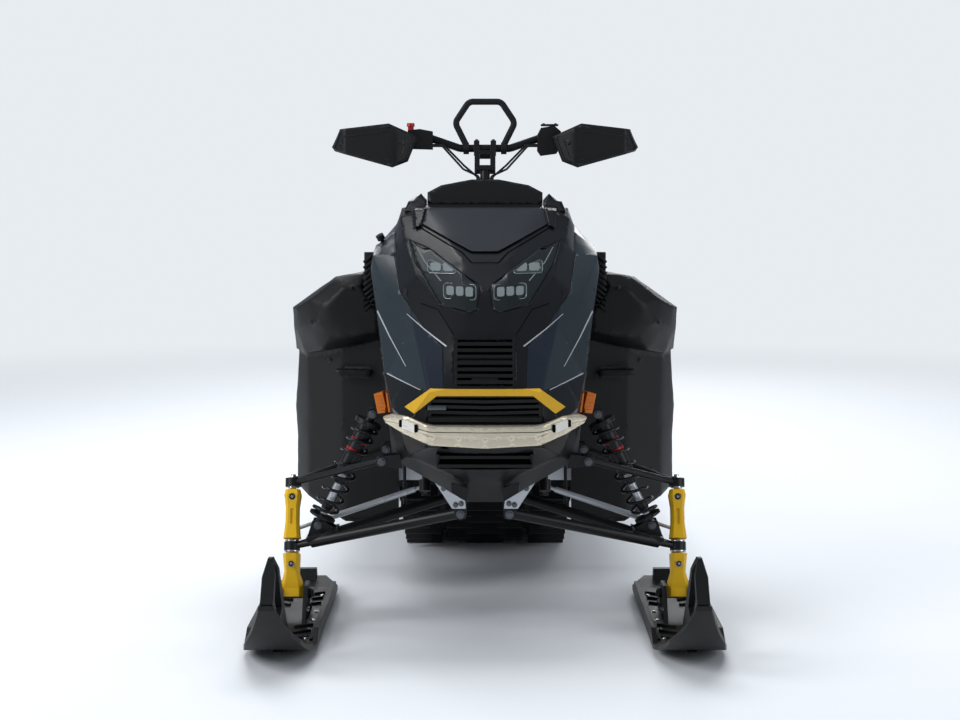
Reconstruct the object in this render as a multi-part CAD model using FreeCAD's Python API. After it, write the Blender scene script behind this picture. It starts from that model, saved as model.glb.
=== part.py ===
import FreeCAD, Part
import math
import os

# A trail snowmobile in millimetres. Its nose points to -Y, +X is on the right of someone who faces it, +Z is up.
# The origin is on the floor, under the middle of its length. Heights are above the floor.
# Every Y in the sizes and tables is a distance behind the line of the two ski spindles. at() moves it to the frame.
V = FreeCAD.Vector

# Fits and gaps
SPINDLE_Y = -1025.0
FIT = 0.3
PIN_FIT = 0.05
OPEN_PIVOT_FIT = 1.0
PANEL_GAP = 0.6
MOVING_GAP = 9.0
ROOT = 2.0

# Skis: a curled plate with a narrow tip, side ribs, a keel, a runner and a saddle for the spindle
SKI_X = 505.0
SKI_WIDTH = 180.0
SKI_TIP_Y = -600.0
SKI_TIP_Z = 190.0
SKI_TIP_HALF = 18.0
SKI_CHEEK_Y = -470.0
SKI_CHEEK_HALF = 66.0
SKI_CURL_Y = -300.0
SKI_TAIL_Y = 450.0
SKI_TAIL_HALF = 50.0
SKI_TAIL_TAPER = 90.0
SKI_TAIL_BEND = 110.0
SKI_TAIL_RISE = 10.0
SKI_PLATE = 12.0
SKI_BOTTOM_Z = 14.0
SKI_RIB_WIDTH = 12.0
SKI_RIB_HEIGHT = 26.0
SKI_RIB_END = 120.0
SKI_LIP_HALF = 26.0
SKI_LIP_HEIGHT = 26.0
KEEL_WIDTH = 26.0
KEEL_LOW_Z = 5.0
RUNNER_WIDTH = 12.0
RUNNER_END = 170.0
HANDLE_WIDTH = 30.0
HANDLE_TOP_WIDTH = 9.0
HANDLE_TOP_Z = 284.0
HANDLE_TOP_Y = -490.0
HANDLE_BAND = 16.0
HANDLE_LIFT = 32.0
HANDLE_NECK_Z = 246.0
SADDLE_HALF = 42.0
SADDLE_WALL = 10.0
SADDLE_TOP_Z = 112.0
SADDLE_FOOT = 95.0
SADDLE_HEAD = 34.0
SKI_BOLT_R = 8.0
SKI_BOLT_HEAD_R = 13.0
SKI_BOLT_HEAD = 9.0
SKI_BOLT_Z = 86.0

# Spindles and their raked turning axis
CASTER_DEG = 18.0
LOWER_JOINT_Z = 210.0
UPPER_JOINT_Z = 370.0
SPINDLE_WIDTH = 44.0
SPINDLE_DEPTH = 50.0
SPINDLE_WAIST = 0.8
COLLAR_R = 21.0
COLLAR_HEIGHT = 22.0
KING_PIN_R = 8.0
BACK_WEB = 16.0
BACK_WEB_HALF = 13.0
RECESS_R = 9.0
RECESS_DEPTH = 7.0
RECESS_DOWN = 34.0
GROOVE_HALF = 4.0
GROOVE_DEPTH = 4.0
STEER_ARM = 75.0
STEER_ARM_HALF = 9.0
STEER_EYE_R = 14.0
STEER_EYE_HEIGHT = 14.0
STUD_RISE = 9.0

# Suspension arms, tie rods, swivel arms and shocks
UPPER_ARM_R = 9.0
LOWER_ARM_R = 14.0
UPPER_INNER_X = 262.0
UPPER_INNER_Z = 455.0
UPPER_SPREAD = 110.0
LOWER_INNER_X = 62.0
LOWER_INNER_Z = 326.0
LOWER_SPREAD = 150.0
ARM_BOLT_R = 6.0
ARM_NECK = 58.0
ARM_NECK_R = 8.5
ARM_EYE_R = 15.0
ARM_EYE_LENGTH = 42.0
EAR_WALL = 5.0
TIE_INNER_X = 157.0
TIE_INNER_Z = 356.0
TIE_OUTER_Z = 262.0
TIE_ROD_R = 8.0
TIE_END_R = 5.0
TIE_EYE_R = 13.0
TIE_EYE_HALF = 7.0
TIE_THIN = 90.0
TIE_THIN_INNER = 30.0
SWIVEL_BAR_R = 7.0
SWIVEL_HUB_R = 15.0
SWIVEL_EYE_R = 12.0
SWIVEL_DROP = 26.0
SWIVEL_SHAFT = 60.0
SHOCK_TOP_X = 292.0
SHOCK_TOP_Z = 560.0
SHOCK_BOTTOM_X = 436.0
SHOCK_BOTTOM_Z = 268.0
SHOCK_Y = 12.0
SHOCK_BODY_R = 22.0
SHOCK_ROD_R = 9.0
SHOCK_EYE_R = 12.0
SHOCK_EYE_HALF = 17.0
SHOCK_SEAT = 20.0
SHOCK_CAP = 34.0
SHOCK_DISC = 6.0
SPRING_R = 31.0
SPRING_WIRE_R = 4.5
SPRING_COILS = 9
SPRING_STEPS = 8
SPRING_SIDES = 6
SWAY_X = 215.0
SWAY_Y = 120.0
SWAY_R = 4.5
SWAY_PAD = 12.0
SWAY_TOP_Z = 412.0
PIVOT_PLATE = 4.0

# Body shell
WALL = 5.0
BULKHEAD_Y = 490.0
COWL_END_Y = 770.0
SUBFRAME_FRONT_Y = -185.0
SUBFRAME_REAR_Y = 260.0
ENGINE_HALF = 150.0
ENGINE_LOW_Z = 470.0
SEAM_OUT = 1.5
SCREEN_PROUD = 5.0
LENS_PROUD = 2.0
LENS_DEEP = 9.0
REFLECTOR_FRONT_Y = -84.0
REFLECTOR_REAR_Y = -40.0
CONSOLE_FRONT_Y = 392.0
CONSOLE_REAR_Y = 486.0

# Grilles: the centre one between the panels, the wide one over the bumper and the slots under it
GRILLE_HALF = 76.0
GRILLE_LOW_Z = 664.0
GRILLE_TOP_Z = 772.0
GRILLE_SLATS = 7
SLAT_DEPTH = 26.0
LOWER_GRILLE_HALF = 140.0
LOWER_GRILLE_LOW_Z = 574.0
LOWER_GRILLE_TOP_Z = 636.0
CHIN_HALF = 120.0
CHIN_LOW_Z = 450.0
CHIN_TOP_Z = 496.0
GRILLE_RAIL = 8.0

# Tunnel, boards and track
TUNNEL_HALF = 276.0
TUNNEL_WALL = 3.0
TUNNEL_TOP_Z = 590.0
TUNNEL_LOW_Z = 305.0
TUNNEL_FRONT_Y = BULKHEAD_Y + FIT
TUNNEL_REAR_Y = 2300.0
BOARD_OUTER_X = 470.0
BOARD_Z = 300.0
BOARD_PLATE = 6.0
BOARD_FRONT_Y = 700.0
BOARD_REAR_Y = 2180.0
BOARD_TAPER = 200.0
BOARD_TUBE_R = 11.0
BOARD_SLOT = 46.0
BOARD_PITCH = 92.0
BOARD_FLANGE = 40.0
TRACK_HALF = 254.0
BELT = 8.0
LUG_HEIGHT = 44.0
LUG_BASE = 14.0
LUG_TIP = 8.0
LUG_COUNT = 51
DRIVE_Y = 700.0
DRIVE_Z = 330.0
DRIVE_R = 92.0
DRIVE_AXLE_R = 16.0
DRUM_WIDTH = 34.0
RAIL_BEND_Y = 1130.0
RAIL_BEND_R = 150.0
IDLER_Y = 2270.0
IDLER_R = 100.0
IDLER_WIDTH = 30.0
IDLER_AXLE_R = 10.0
BOGIE_YS = (1330.0, 1660.0, 1960.0)
BOGIE_R = 66.0
BOGIE_WIDTH = 24.0
BOGIE_AXLE_R = 8.0
RAIL_X = 132.0
RAIL_WIDTH = 16.0
RAIL_HEIGHT = 58.0
CROSS_YS = (1230.0, 1560.0, 2120.0)
CROSS_R = 9.0
SKID_ARM_R = 10.0
SKID_ARM_HALF = 118.0
SKID_SHOCK_R = 24.0
SKID_EYE_R = 14.0

# Tank, seat and rear end
TANK_HALF = 165.0
SEAT_FRONT_Y = 960.0
SEAT_REAR_Y = 1570.0
SEAT_HALF = 145.0
SEAT_BASE_Z = 735.0
SEAT_TOP_Z = 855.0
SEAT_BACK_SLOPE = 40.0
TAIL_LAMP_HALF = 80.0
RACK_X = 205.0
RACK_FRONT_Y = 1660.0
RACK_REAR_Y = 2270.0
RACK_RISE = 46.0
RACK_R = 10.0
RACK_BAR_R = 8.0
RACK_BARS = (1740.0, 1900.0, 2060.0, 2190.0)
RACK_FOOT = 8.0
REAR_BAR_Z = 540.0
REAR_BAR_R = 12.0
REAR_BAR_BEND = 50.0
HITCH_Y = 2495.0
HITCH_BORE_R = 8.0
HITCH_PLATE = 12.0
FLAP_END_Y = 2650.0
FLAP_LOW_Z = 205.0
FLAP_THICK = 7.0
ANCHOR_R = 10.0
ANCHOR_DX = 300.0
ANCHOR_DY = 350.0
ANCHOR_Y = 1960.0

# Steering
BAR_Y = 600.0
BAR_Z = 1252.0
COLUMN_RAKE_DEG = 25.0
POST_R = 14.0
POST_LENGTH = 232.0
BEARING_R = 24.0
BEARING_TOP = 160.0
BEARING_LENGTH = 55.0
CABLE_COLLAR_R = 27.0
CABLE_COLLAR = 10.0
CABLE_COLLAR_DOWN = 114.0
CABLE_R = 3.0
BAR_R = 11.0
BAR_BEND = 40.0
GRIP_R = 17.0
GRIP_LENGTH = 128.0
CONTROL_START = 150.0
CONTROL_LENGTH = 38.0
LEVER_R = 5.0
STRAP_R = 9.0
STRAP_BEND = 22.0


def at(y):
    return SPINDLE_Y + y


def box(x0, x1, y0, y1, z0, z1):
    return Part.makeBox(x1 - x0, y1 - y0, z1 - z0, V(x0, y0, z0))


def face(points):
    return Part.Face(Part.makePolygon(points + [points[0]]))


def prism_x(yz, x0, x1):
    return face([V(x0, at(y), z) for y, z in yz]).extrude(V(x1 - x0, 0, 0))


def prism_y(xz, y0, y1):
    return face([V(x, at(y0), z) for x, z in xz]).extrude(V(0, y1 - y0, 0))


def prism_z(xy, z0, z1):
    return face([V(x, at(y), z0) for x, y in xy]).extrude(V(0, 0, z1 - z0))


def rod(a, b, radius):
    return Part.makeCylinder(radius, (b - a).Length, a, b - a)


def pipe(a, b, outer, inner):
    return rod(a, b, outer).cut(rod(a, b, inner))


def cross_rod(half, y, z, radius):
    # A round bar along X, centred on the machine.
    return rod(V(-half, at(y), z), V(half, at(y), z), radius)


def cross_disc(x, width, y, z, radius):
    # A wheel or drum along X that starts at x.
    return rod(V(x, at(y), z), V(x + width, at(y), z), radius)


def mirrored(shape):
    return shape.mirror(V(0, 0, 0), V(1, 0, 0))


def fused(shapes):
    whole = shapes[0]
    if len(shapes) > 1:
        whole = shapes[0].multiFuse(shapes[1:])
    return whole.removeSplitter()


def both_halves(points):
    # A half outline with x >= 0, from the bottom up, closed with its mirror image.
    return points + [(-x, z) for x, z in reversed(points)]


def bent_tube(points, radius, bend):
    # Straight runs joined by tangent arcs of one radius.
    edges = []
    start = points[0]
    for before, corner, after in zip(points, points[1:], points[2:]):
        a = (before - corner).normalize()
        b = (after - corner).normalize()
        half = a.getAngle(b) / 2
        reach = bend / math.tan(half)
        enter = corner + a * reach
        leave = corner + b * reach
        middle_way = (a + b).normalize()
        centre = corner + middle_way * (bend / math.sin(half))
        middle = centre - middle_way * bend
        edges.append(Part.LineSegment(start, enter).toShape())
        edges.append(Part.Arc(enter, middle, leave).toShape())
        start = leave
    edges.append(Part.LineSegment(start, points[-1]).toShape())
    path = Part.Wire(edges)
    ring = Part.Wire(Part.makeCircle(radius, points[0], points[1] - points[0]))
    return path.makePipeShell([ring], True, True)


nodes = {}


def node(name, *shapes):
    nodes.setdefault(name, []).extend(shapes)


def pair(name, shape):
    # The left piece is on -X, as someone who faces the machine sees it, and the right one is its mirror image.
    node(name + "_l", shape)
    node(name + "_r", mirrored(shape))


def alike(name, shape):
    # Both sides of one body in one node, as solids that do not touch.
    node(name, shape, mirrored(shape))


# Kingpin frame: the axis leans back at its top.
CASTER = math.radians(CASTER_DEG)
AXIS = V(0, math.sin(CASTER), math.cos(CASTER))
ARM_WAY = V(0, math.cos(CASTER), -math.sin(CASTER))


def king(x, z):
    # The point of the left or right kingpin axis at height z.
    return V(x, at(0) + (z - LOWER_JOINT_Z) * math.tan(CASTER), z)


# Skis
SKI_HALF = SKI_WIDTH / 2
SKI_TOP_Z = SKI_BOTTOM_Z + SKI_PLATE
CURL_MID_Y = (SKI_CURL_Y + SKI_TIP_Y) / 2
CURL_MID_Z = SKI_BOTTOM_Z + 0.25 * (SKI_TIP_Z - SKI_BOTTOM_Z)


def ski_plate():
    # The curled plate in side view, cut to its plan outline.
    low = [V(-SKI_HALF, at(SKI_CURL_Y), SKI_BOTTOM_Z), V(-SKI_HALF, at(CURL_MID_Y), CURL_MID_Z),
           V(-SKI_HALF, at(SKI_TIP_Y), SKI_TIP_Z - SKI_PLATE)]
    high = [p + V(0, 0, SKI_PLATE) for p in low]
    tail_low = V(-SKI_HALF, at(SKI_TAIL_Y), SKI_BOTTOM_Z + SKI_TAIL_RISE)
    tail_high = tail_low + V(0, 0, SKI_PLATE)
    knee_low = V(-SKI_HALF, at(SKI_TAIL_Y - SKI_TAIL_BEND), SKI_BOTTOM_Z)
    knee_high = knee_low + V(0, 0, SKI_PLATE)
    side = Part.Wire([
        Part.LineSegment(tail_low, knee_low).toShape(),
        Part.LineSegment(knee_low, low[0]).toShape(),
        Part.Arc(low[0], low[1], low[2]).toShape(),
        Part.LineSegment(low[2], high[2]).toShape(),
        Part.Arc(high[2], high[1], high[0]).toShape(),
        Part.LineSegment(high[0], knee_high).toShape(),
        Part.LineSegment(knee_high, tail_high).toShape(),
        Part.LineSegment(tail_high, tail_low).toShape()])
    right = [(SKI_TIP_HALF, SKI_TIP_Y), (SKI_CHEEK_HALF, SKI_CHEEK_Y), (SKI_HALF, SKI_CURL_Y - SKI_RIB_WIDTH),
             (SKI_HALF, SKI_TAIL_Y - SKI_TAIL_TAPER), (SKI_TAIL_HALF, SKI_TAIL_Y)]
    plan = prism_z(right + [(-x, y) for x, y in reversed(right)], 0, SKI_TIP_Z + SKI_PLATE)
    return Part.Face(side).extrude(V(SKI_WIDTH, 0, 0)).common(plan)


def ski():
    top = SKI_TOP_Z
    rib = prism_x([(SKI_CURL_Y, top - ROOT), (SKI_TAIL_Y - SKI_RIB_END, top - ROOT),
                   (SKI_TAIL_Y - SKI_RIB_END - 30, top + SKI_RIB_HEIGHT), (SKI_CURL_Y + 60, top + SKI_RIB_HEIGHT)],
                  SKI_HALF - SKI_RIB_WIDTH, SKI_HALF)
    keel = prism_x([(SKI_CURL_Y - 60, SKI_BOTTOM_Z + 8), (SKI_CURL_Y, KEEL_LOW_Z),
                    (SKI_TAIL_Y - 150, KEEL_LOW_Z), (SKI_TAIL_Y - SKI_TAIL_BEND, SKI_BOTTOM_Z + ROOT)],
                   -KEEL_WIDTH / 2, KEEL_WIDTH / 2)
    cheek = prism_x([(-SADDLE_FOOT, top - ROOT), (SADDLE_FOOT, top - ROOT), (SADDLE_HEAD, SADDLE_TOP_Z),
                     (-SADDLE_HEAD, SADDLE_TOP_Z)], SADDLE_HALF - SADDLE_WALL, SADDLE_HALF)
    tail_top = top + SKI_TAIL_RISE
    lip = prism_x([(SKI_TAIL_Y - 50, tail_top - 3 * ROOT), (SKI_TAIL_Y - ROOT, tail_top - ROOT),
                   (SKI_TAIL_Y - 12, tail_top + SKI_LIP_HEIGHT), (SKI_TAIL_Y - 34, tail_top + SKI_LIP_HEIGHT)],
                  -SKI_LIP_HALF, SKI_LIP_HALF)
    runner = prism_x([(SKI_CURL_Y + 30, 0), (SKI_TAIL_Y - RUNNER_END, 0), (SKI_TAIL_Y - RUNNER_END, KEEL_LOW_Z),
                      (SKI_CURL_Y + 30, KEEL_LOW_Z)], -RUNNER_WIDTH / 2, RUNNER_WIDTH / 2)
    piece = fused([ski_plate(), rib, mirrored(rib), keel, cheek, mirrored(cheek), lip, runner])
    return piece.cut(cross_rod(SKI_HALF, 0, SKI_BOLT_Z, SKI_BOLT_R + PIN_FIT))


def ski_handle():
    # A tall pointed grab loop that stands along the middle of the tip.
    band = HANDLE_BAND
    outer = [(SKI_TIP_Y + 6, SKI_TIP_Z + ROOT), (HANDLE_TOP_Y - 22, HANDLE_TOP_Z),
             (HANDLE_TOP_Y + 16, HANDLE_TOP_Z - 4), (SKI_CURL_Y + 30, SKI_TOP_Z + 34),
             (SKI_CURL_Y + 20, SKI_TOP_Z + FIT)]
    under = [(SKI_CURL_Y - 30, SKI_TOP_Z + 6), (CURL_MID_Y, CURL_MID_Z + SKI_PLATE + HANDLE_LIFT),
             (SKI_TIP_Y + 70, SKI_TIP_Z - 40)]
    gap = prism_x([(SKI_TIP_Y + 48, SKI_TIP_Z + 4), (HANDLE_TOP_Y - 18, HANDLE_TOP_Z - band),
                   (HANDLE_TOP_Y + 4, HANDLE_TOP_Z - band - 4), (SKI_CURL_Y - 100, 142), (SKI_CURL_Y - 155, 122),
                   (SKI_TIP_Y + 80, SKI_TIP_Z - 30)], -HANDLE_WIDTH, HANDLE_WIDTH)
    loop = prism_x(outer + under, -HANDLE_WIDTH / 2, HANDLE_WIDTH / 2).cut(gap)
    # Seen from ahead, its top narrows to a blunt point.
    front_view = both_halves([(HANDLE_WIDTH / 2, 0), (HANDLE_WIDTH / 2, HANDLE_NECK_Z),
                              (HANDLE_TOP_WIDTH / 2, HANDLE_TOP_Z)])
    return loop.common(prism_y(front_view, SKI_TIP_Y - 50, SKI_CURL_Y + 100))


# Spindles
HALF_SLOT = COLLAR_HEIGHT / 2 + MOVING_GAP
SPINDLE_TOP = (UPPER_JOINT_Z - LOWER_JOINT_Z) / math.cos(CASTER) - HALF_SLOT
TIE_UP = (TIE_OUTER_Z - LOWER_JOINT_Z) / math.cos(CASTER)


def raked(shape):
    # From the kingpin's own frame, with Z up the pin and Y towards the steering arm, to the machine at X = 0.
    copy = shape.copy()
    copy.rotate(V(0, 0, 0), V(1, 0, 0), -CASTER_DEG)
    copy.translate(king(0, LOWER_JOINT_Z))
    return copy


def eight_sided(half_x, half_y, y, z):
    # A section with its four corners cut.
    cx, cy = half_x * 0.62, half_y * 0.62
    ring = [V(-cx, y - half_y, z), V(cx, y - half_y, z), V(half_x, y - cy, z), V(half_x, y + cy, z),
            V(cx, y + half_y, z), V(-cx, y + half_y, z), V(-half_x, y + cy, z), V(-half_x, y - cy, z)]
    return Part.makePolygon(ring + [ring[0]])


def local_x(yz, half):
    ring = [V(-half, y, z) for y, z in yz]
    return face(ring).extrude(V(2 * half, 0, 0))


def spindle():
    # A forging above and below the lower arm's collar, joined behind it, with the steering arm and the joint pins.
    wide, deep = SPINDLE_WIDTH / 2, SPINDLE_DEPTH / 2
    waist_wide, waist_deep = wide * SPINDLE_WAIST, deep * SPINDLE_WAIST
    upper = Part.makeLoft([eight_sided(wide, deep, 0, HALF_SLOT), eight_sided(waist_wide, waist_deep, 0, 60),
                           eight_sided(waist_wide, waist_deep, 0, SPINDLE_TOP - 46),
                           eight_sided(wide, deep, 0, SPINDLE_TOP - 14),
                           eight_sided(wide * 0.86, deep * 0.86, 0, SPINDLE_TOP)], True, True)
    drop = LOWER_JOINT_Z - SKI_BOLT_Z
    bolt_y, bolt_z = drop * math.sin(CASTER), -drop * math.cos(CASTER)
    fork = SADDLE_HALF - SADDLE_WALL - FIT
    leg = Part.makeLoft([eight_sided(fork, 26, bolt_y, bolt_z - 12), eight_sided(fork, 28, bolt_y, bolt_z + 10),
                         eight_sided(wide * 0.86, deep, bolt_y * 0.5, bolt_z * 0.55),
                         eight_sided(wide, deep, 0, -HALF_SLOT)], True, True)
    near, far = COLLAR_R + MOVING_GAP, COLLAR_R + MOVING_GAP + BACK_WEB
    web = local_x([(10, HALF_SLOT + 20), (far, HALF_SLOT + 8), (far, -HALF_SLOT - 8), (10, -HALF_SLOT - 20),
                   (10, -HALF_SLOT), (near, -HALF_SLOT), (near, HALF_SLOT), (10, HALF_SLOT)], BACK_WEB_HALF)
    eye_top, eye_low = TIE_UP - 12, TIE_UP - 12 - STEER_EYE_HEIGHT
    arm = local_x([(10, eye_low - 1), (STEER_ARM, eye_low + 1), (STEER_ARM, eye_top - 1), (10, eye_top + 1)],
                  STEER_ARM_HALF)
    eye = rod(V(0, STEER_ARM, eye_low), V(0, STEER_ARM, eye_top), STEER_EYE_R)
    stud = rod(V(0, STEER_ARM, eye_low + 10), V(0, STEER_ARM, TIE_UP + STUD_RISE), TIE_END_R)
    pin = rod(V(0, 0, -HALF_SLOT - 6), V(0, 0, HALF_SLOT + 6), KING_PIN_R)
    top_pin = rod(V(0, 0, SPINDLE_TOP - 6), V(0, 0, SPINDLE_TOP + MOVING_GAP + COLLAR_HEIGHT), KING_PIN_R)
    whole = fused([upper, leg, web, arm, eye, stud, pin, top_pin])
    # Two round bolt recesses and a lightening groove in the front face.
    recesses = [rod(V(0, -deep - 10, z), V(0, -deep + RECESS_DEPTH, z), RECESS_R)
                for z in (SPINDLE_TOP - RECESS_DOWN + 14, -HALF_SLOT - RECESS_DOWN + 8)]
    groove_y = -waist_deep + GROOVE_DEPTH
    groove_yz = [(-deep - 10, 52), (groove_y, 58), (groove_y, SPINDLE_TOP - 52), (-deep - 10, SPINDLE_TOP - 44)]
    groove = local_x(groove_yz, GROOVE_HALF)
    whole = raked(whole.cut(recesses + [groove]))
    return whole.cut(cross_rod(60, 0, SKI_BOLT_Z, SKI_BOLT_R + PIN_FIT))


def ski_bolt():
    tip = SADDLE_HALF + SKI_BOLT_HEAD
    head = cross_disc(-tip, SKI_BOLT_HEAD - FIT, 0, SKI_BOLT_Z, SKI_BOLT_HEAD_R)
    return fused([cross_rod(tip - 1, 0, SKI_BOLT_Z, SKI_BOLT_R), head, mirrored(head)])


def placed(shape, x):
    copy = shape.copy()
    copy.translate(V(x, 0, 0))
    return copy


for name, shape in (("ski", ski()), ("ski_handle", ski_handle()), ("spindle", spindle()), ("spindle", ski_bolt())):
    node(name + "_l", placed(shape, -SKI_X))
    node(name + "_r", placed(shape, SKI_X))


# Steering linkage
def tie_rod():
    # Its outer eye sits on the steering arm's stud, its inner eye on the stud of the swivel arm.
    outer = king(-SKI_X, LOWER_JOINT_Z) + ARM_WAY * STEER_ARM + AXIS * TIE_UP
    inner = V(-TIE_INNER_X, outer.y, TIE_INNER_Z)
    way = (inner - outer).normalize()
    thin = rod(outer + way * (TIE_EYE_R - 1), outer + way * TIE_THIN, TIE_END_R)
    thick = rod(outer + way * (TIE_THIN - ROOT), inner - way * TIE_THIN_INNER, TIE_ROD_R)
    thin_in = rod(inner - way * (TIE_THIN_INNER + ROOT), inner - way * (TIE_EYE_R - 3), TIE_END_R)
    eye = rod(outer - AXIS * TIE_EYE_HALF, outer + AXIS * TIE_EYE_HALF, TIE_EYE_R)
    eye_in = rod(inner - AXIS * TIE_EYE_HALF, inner + AXIS * TIE_EYE_HALF, TIE_EYE_R)
    whole = fused([thin, thick, thin_in, eye, eye_in])
    whole = whole.cut(rod(outer - AXIS * 20, outer + AXIS * 20, TIE_END_R + PIN_FIT))
    # The inner joint is the open pivot of the linkage, so its bore has room.
    return whole.cut(rod(inner - AXIS * 20, inner + AXIS * 20, TIE_END_R + OPEN_PIVOT_FIT)), inner


def swivel_arm(tie_inner):
    # The arm under the subframe that pulls the tie rod. Its shaft goes up into the closed body.
    pivot = tie_inner - ARM_WAY * STEER_ARM
    low = AXIS * SWIVEL_DROP
    bar_down = AXIS * (SWIVEL_DROP - 8)
    bar = rod(pivot - bar_down, tie_inner - bar_down, SWIVEL_BAR_R)
    hub = rod(pivot - low, pivot + AXIS * 4, SWIVEL_HUB_R)
    eye = rod(tie_inner - low, tie_inner - AXIS * 12, SWIVEL_EYE_R)
    stud = rod(tie_inner - AXIS * 14, tie_inner + AXIS * STUD_RISE, TIE_END_R)
    shaft = rod(pivot, pivot + AXIS * SWIVEL_SHAFT, KING_PIN_R)
    return fused([bar, hub, eye, stud, shaft]), pivot


tie_shape, TIE_INNER = tie_rod()
swivel_shape, SWIVEL_PIVOT = swivel_arm(TIE_INNER)
pair("tie_rod", tie_shape)
pair("swivel_arm", swivel_shape)


# Suspension arms
def suspension_arm(z_joint, inner_x, inner_z, spread, radius):
    # Two tubes from the ball-joint collar to two eyes whose bolts lie along Y.
    centre = king(-SKI_X, z_joint)
    pieces = [rod(centre - AXIS * (COLLAR_HEIGHT / 2), centre + AXIS * (COLLAR_HEIGHT / 2), COLLAR_R)]
    bolts = []
    for side in (-1, 1):
        eye_mid = V(-inner_x, at(side * spread), inner_z)
        half = V(0, ARM_EYE_LENGTH / 2, 0)
        way = (eye_mid - centre).normalize()
        pieces.append(rod(eye_mid - half, eye_mid + half, ARM_EYE_R))
        pieces.append(rod(centre + way * (COLLAR_R * 0.6), centre + way * (ARM_NECK + 6), min(radius, ARM_NECK_R)))
        pieces.append(rod(centre + way * ARM_NECK, eye_mid - way * (ARM_EYE_R * 0.5), radius))
        bolts.append(rod(eye_mid - half * 2, eye_mid + half * 2, ARM_BOLT_R + PIN_FIT))
    pin = rod(centre - AXIS * 60, centre + AXIS * 60, KING_PIN_R + PIN_FIT)
    return fused(pieces).cut([pin] + bolts)


shock_top = V(-SHOCK_TOP_X, at(SHOCK_Y), SHOCK_TOP_Z)
shock_bottom = V(-SHOCK_BOTTOM_X, at(SHOCK_Y), SHOCK_BOTTOM_Z)
shock_way = (shock_top - shock_bottom).normalize()
SHOCK_LENGTH = (shock_top - shock_bottom).Length
LOWER_SLOPE = (LOWER_INNER_Z - LOWER_JOINT_Z) / (SKI_X - LOWER_INNER_X)


def lower_arm_z(x):
    # The height of the lower arm's tubes at a distance x from the machine's middle.
    return LOWER_JOINT_Z + LOWER_SLOPE * (SKI_X - x)


def shock_foot():
    # The plate across both tubes of the lower arm, with two ears for the shock's lower eye.
    x0, x1 = SKI_X - 40, SKI_X - 120
    z0, z1 = lower_arm_z(x0) + 8, lower_arm_z(x1) + 8
    reach = 46
    plate = prism_y([(-x0, z0), (-x1, z1), (-x1, z1 + 10), (-x0, z0 + 10)], SHOCK_Y - reach, SHOCK_Y + reach)
    ear_xz = [(-x0, z0 + 6), (-x1, z1 + 6), (-SHOCK_BOTTOM_X + 14, SHOCK_BOTTOM_Z + 12),
              (-SHOCK_BOTTOM_X - 14, SHOCK_BOTTOM_Z + 12)]
    ear = SHOCK_EYE_HALF + 1
    ears = [prism_y(ear_xz, SHOCK_Y + a, SHOCK_Y + a + 6) for a in (-ear - 6, ear)]
    bolt_half = V(0, ear + 8, 0)
    return [plate, rod(shock_bottom - bolt_half, shock_bottom + bolt_half, ARM_BOLT_R)] + ears


def sway_pad():
    # The small lug on the rear tube that the sway link stands on.
    z = lower_arm_z(SWAY_X)
    tube_y = LOWER_SPREAD * (SKI_X - SWAY_X) / (SKI_X - LOWER_INNER_X)
    return box(-SWAY_X - SWAY_PAD / 2, -SWAY_X + SWAY_PAD / 2, at(tube_y), at(SWAY_Y + SWAY_PAD / 2),
               z + 2, z + LOWER_ARM_R)


upper_arm = suspension_arm(UPPER_JOINT_Z, UPPER_INNER_X, UPPER_INNER_Z, UPPER_SPREAD, UPPER_ARM_R)
lower_arm = suspension_arm(LOWER_JOINT_Z, LOWER_INNER_X, LOWER_INNER_Z, LOWER_SPREAD, LOWER_ARM_R)
alike("upper_arms", upper_arm)
alike("lower_arms", fused([lower_arm, sway_pad()] + shock_foot()))


# Shocks and springs
def along_shock(distance):
    return shock_bottom + shock_way * distance


def shock():
    eye_half = V(0, SHOCK_EYE_HALF, 0)
    eyes = [rod(p - eye_half, p + eye_half, SHOCK_EYE_R) for p in (shock_bottom, shock_top)]
    shaft = rod(shock_bottom, along_shock(SHOCK_LENGTH * 0.55), SHOCK_ROD_R)
    body = rod(along_shock(SHOCK_LENGTH * 0.48), along_shock(SHOCK_LENGTH - 22), SHOCK_BODY_R)
    disc_r = SPRING_R + SPRING_WIRE_R
    cap = SHOCK_LENGTH - SHOCK_CAP
    seat = rod(along_shock(SHOCK_SEAT), along_shock(SHOCK_SEAT + SHOCK_DISC), disc_r)
    collar = rod(along_shock(cap), along_shock(cap + 2 * SHOCK_DISC), disc_r)
    neck = rod(along_shock(cap), shock_top, SHOCK_EYE_R - 1)
    whole = fused(eyes + [shaft, body, neck, seat, collar])
    bores = [rod(p - eye_half * 2, p + eye_half * 2, ARM_BOLT_R + PIN_FIT) for p in (shock_bottom, shock_top)]
    return whole.cut(bores)


def spring():
    # One open coil of six-sided wire from the lower seat to the upper collar.
    first = SHOCK_SEAT + SHOCK_DISC + SPRING_WIRE_R + FIT
    last = SHOCK_LENGTH - SHOCK_CAP - SPRING_WIRE_R - FIT
    side_way = V(0, 1, 0)
    front_way = shock_way.cross(side_way)
    rings = []
    count = SPRING_COILS * SPRING_STEPS
    for i in range(count + 1):
        turn = 2 * math.pi * i / SPRING_STEPS
        out = side_way * math.cos(turn) + front_way * math.sin(turn)
        centre = along_shock(first + (last - first) * i / count) + out * SPRING_R
        corners = []
        for k in range(SPRING_SIDES):
            a = 2 * math.pi * k / SPRING_SIDES
            corners.append(centre + (out * math.cos(a) + shock_way * math.sin(a)) * SPRING_WIRE_R)
        rings.append(Part.makePolygon(corners + [corners[0]]))
    return Part.makeLoft(rings, True, True)


alike("shocks", shock())
alike("shock_springs", spring())
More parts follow.
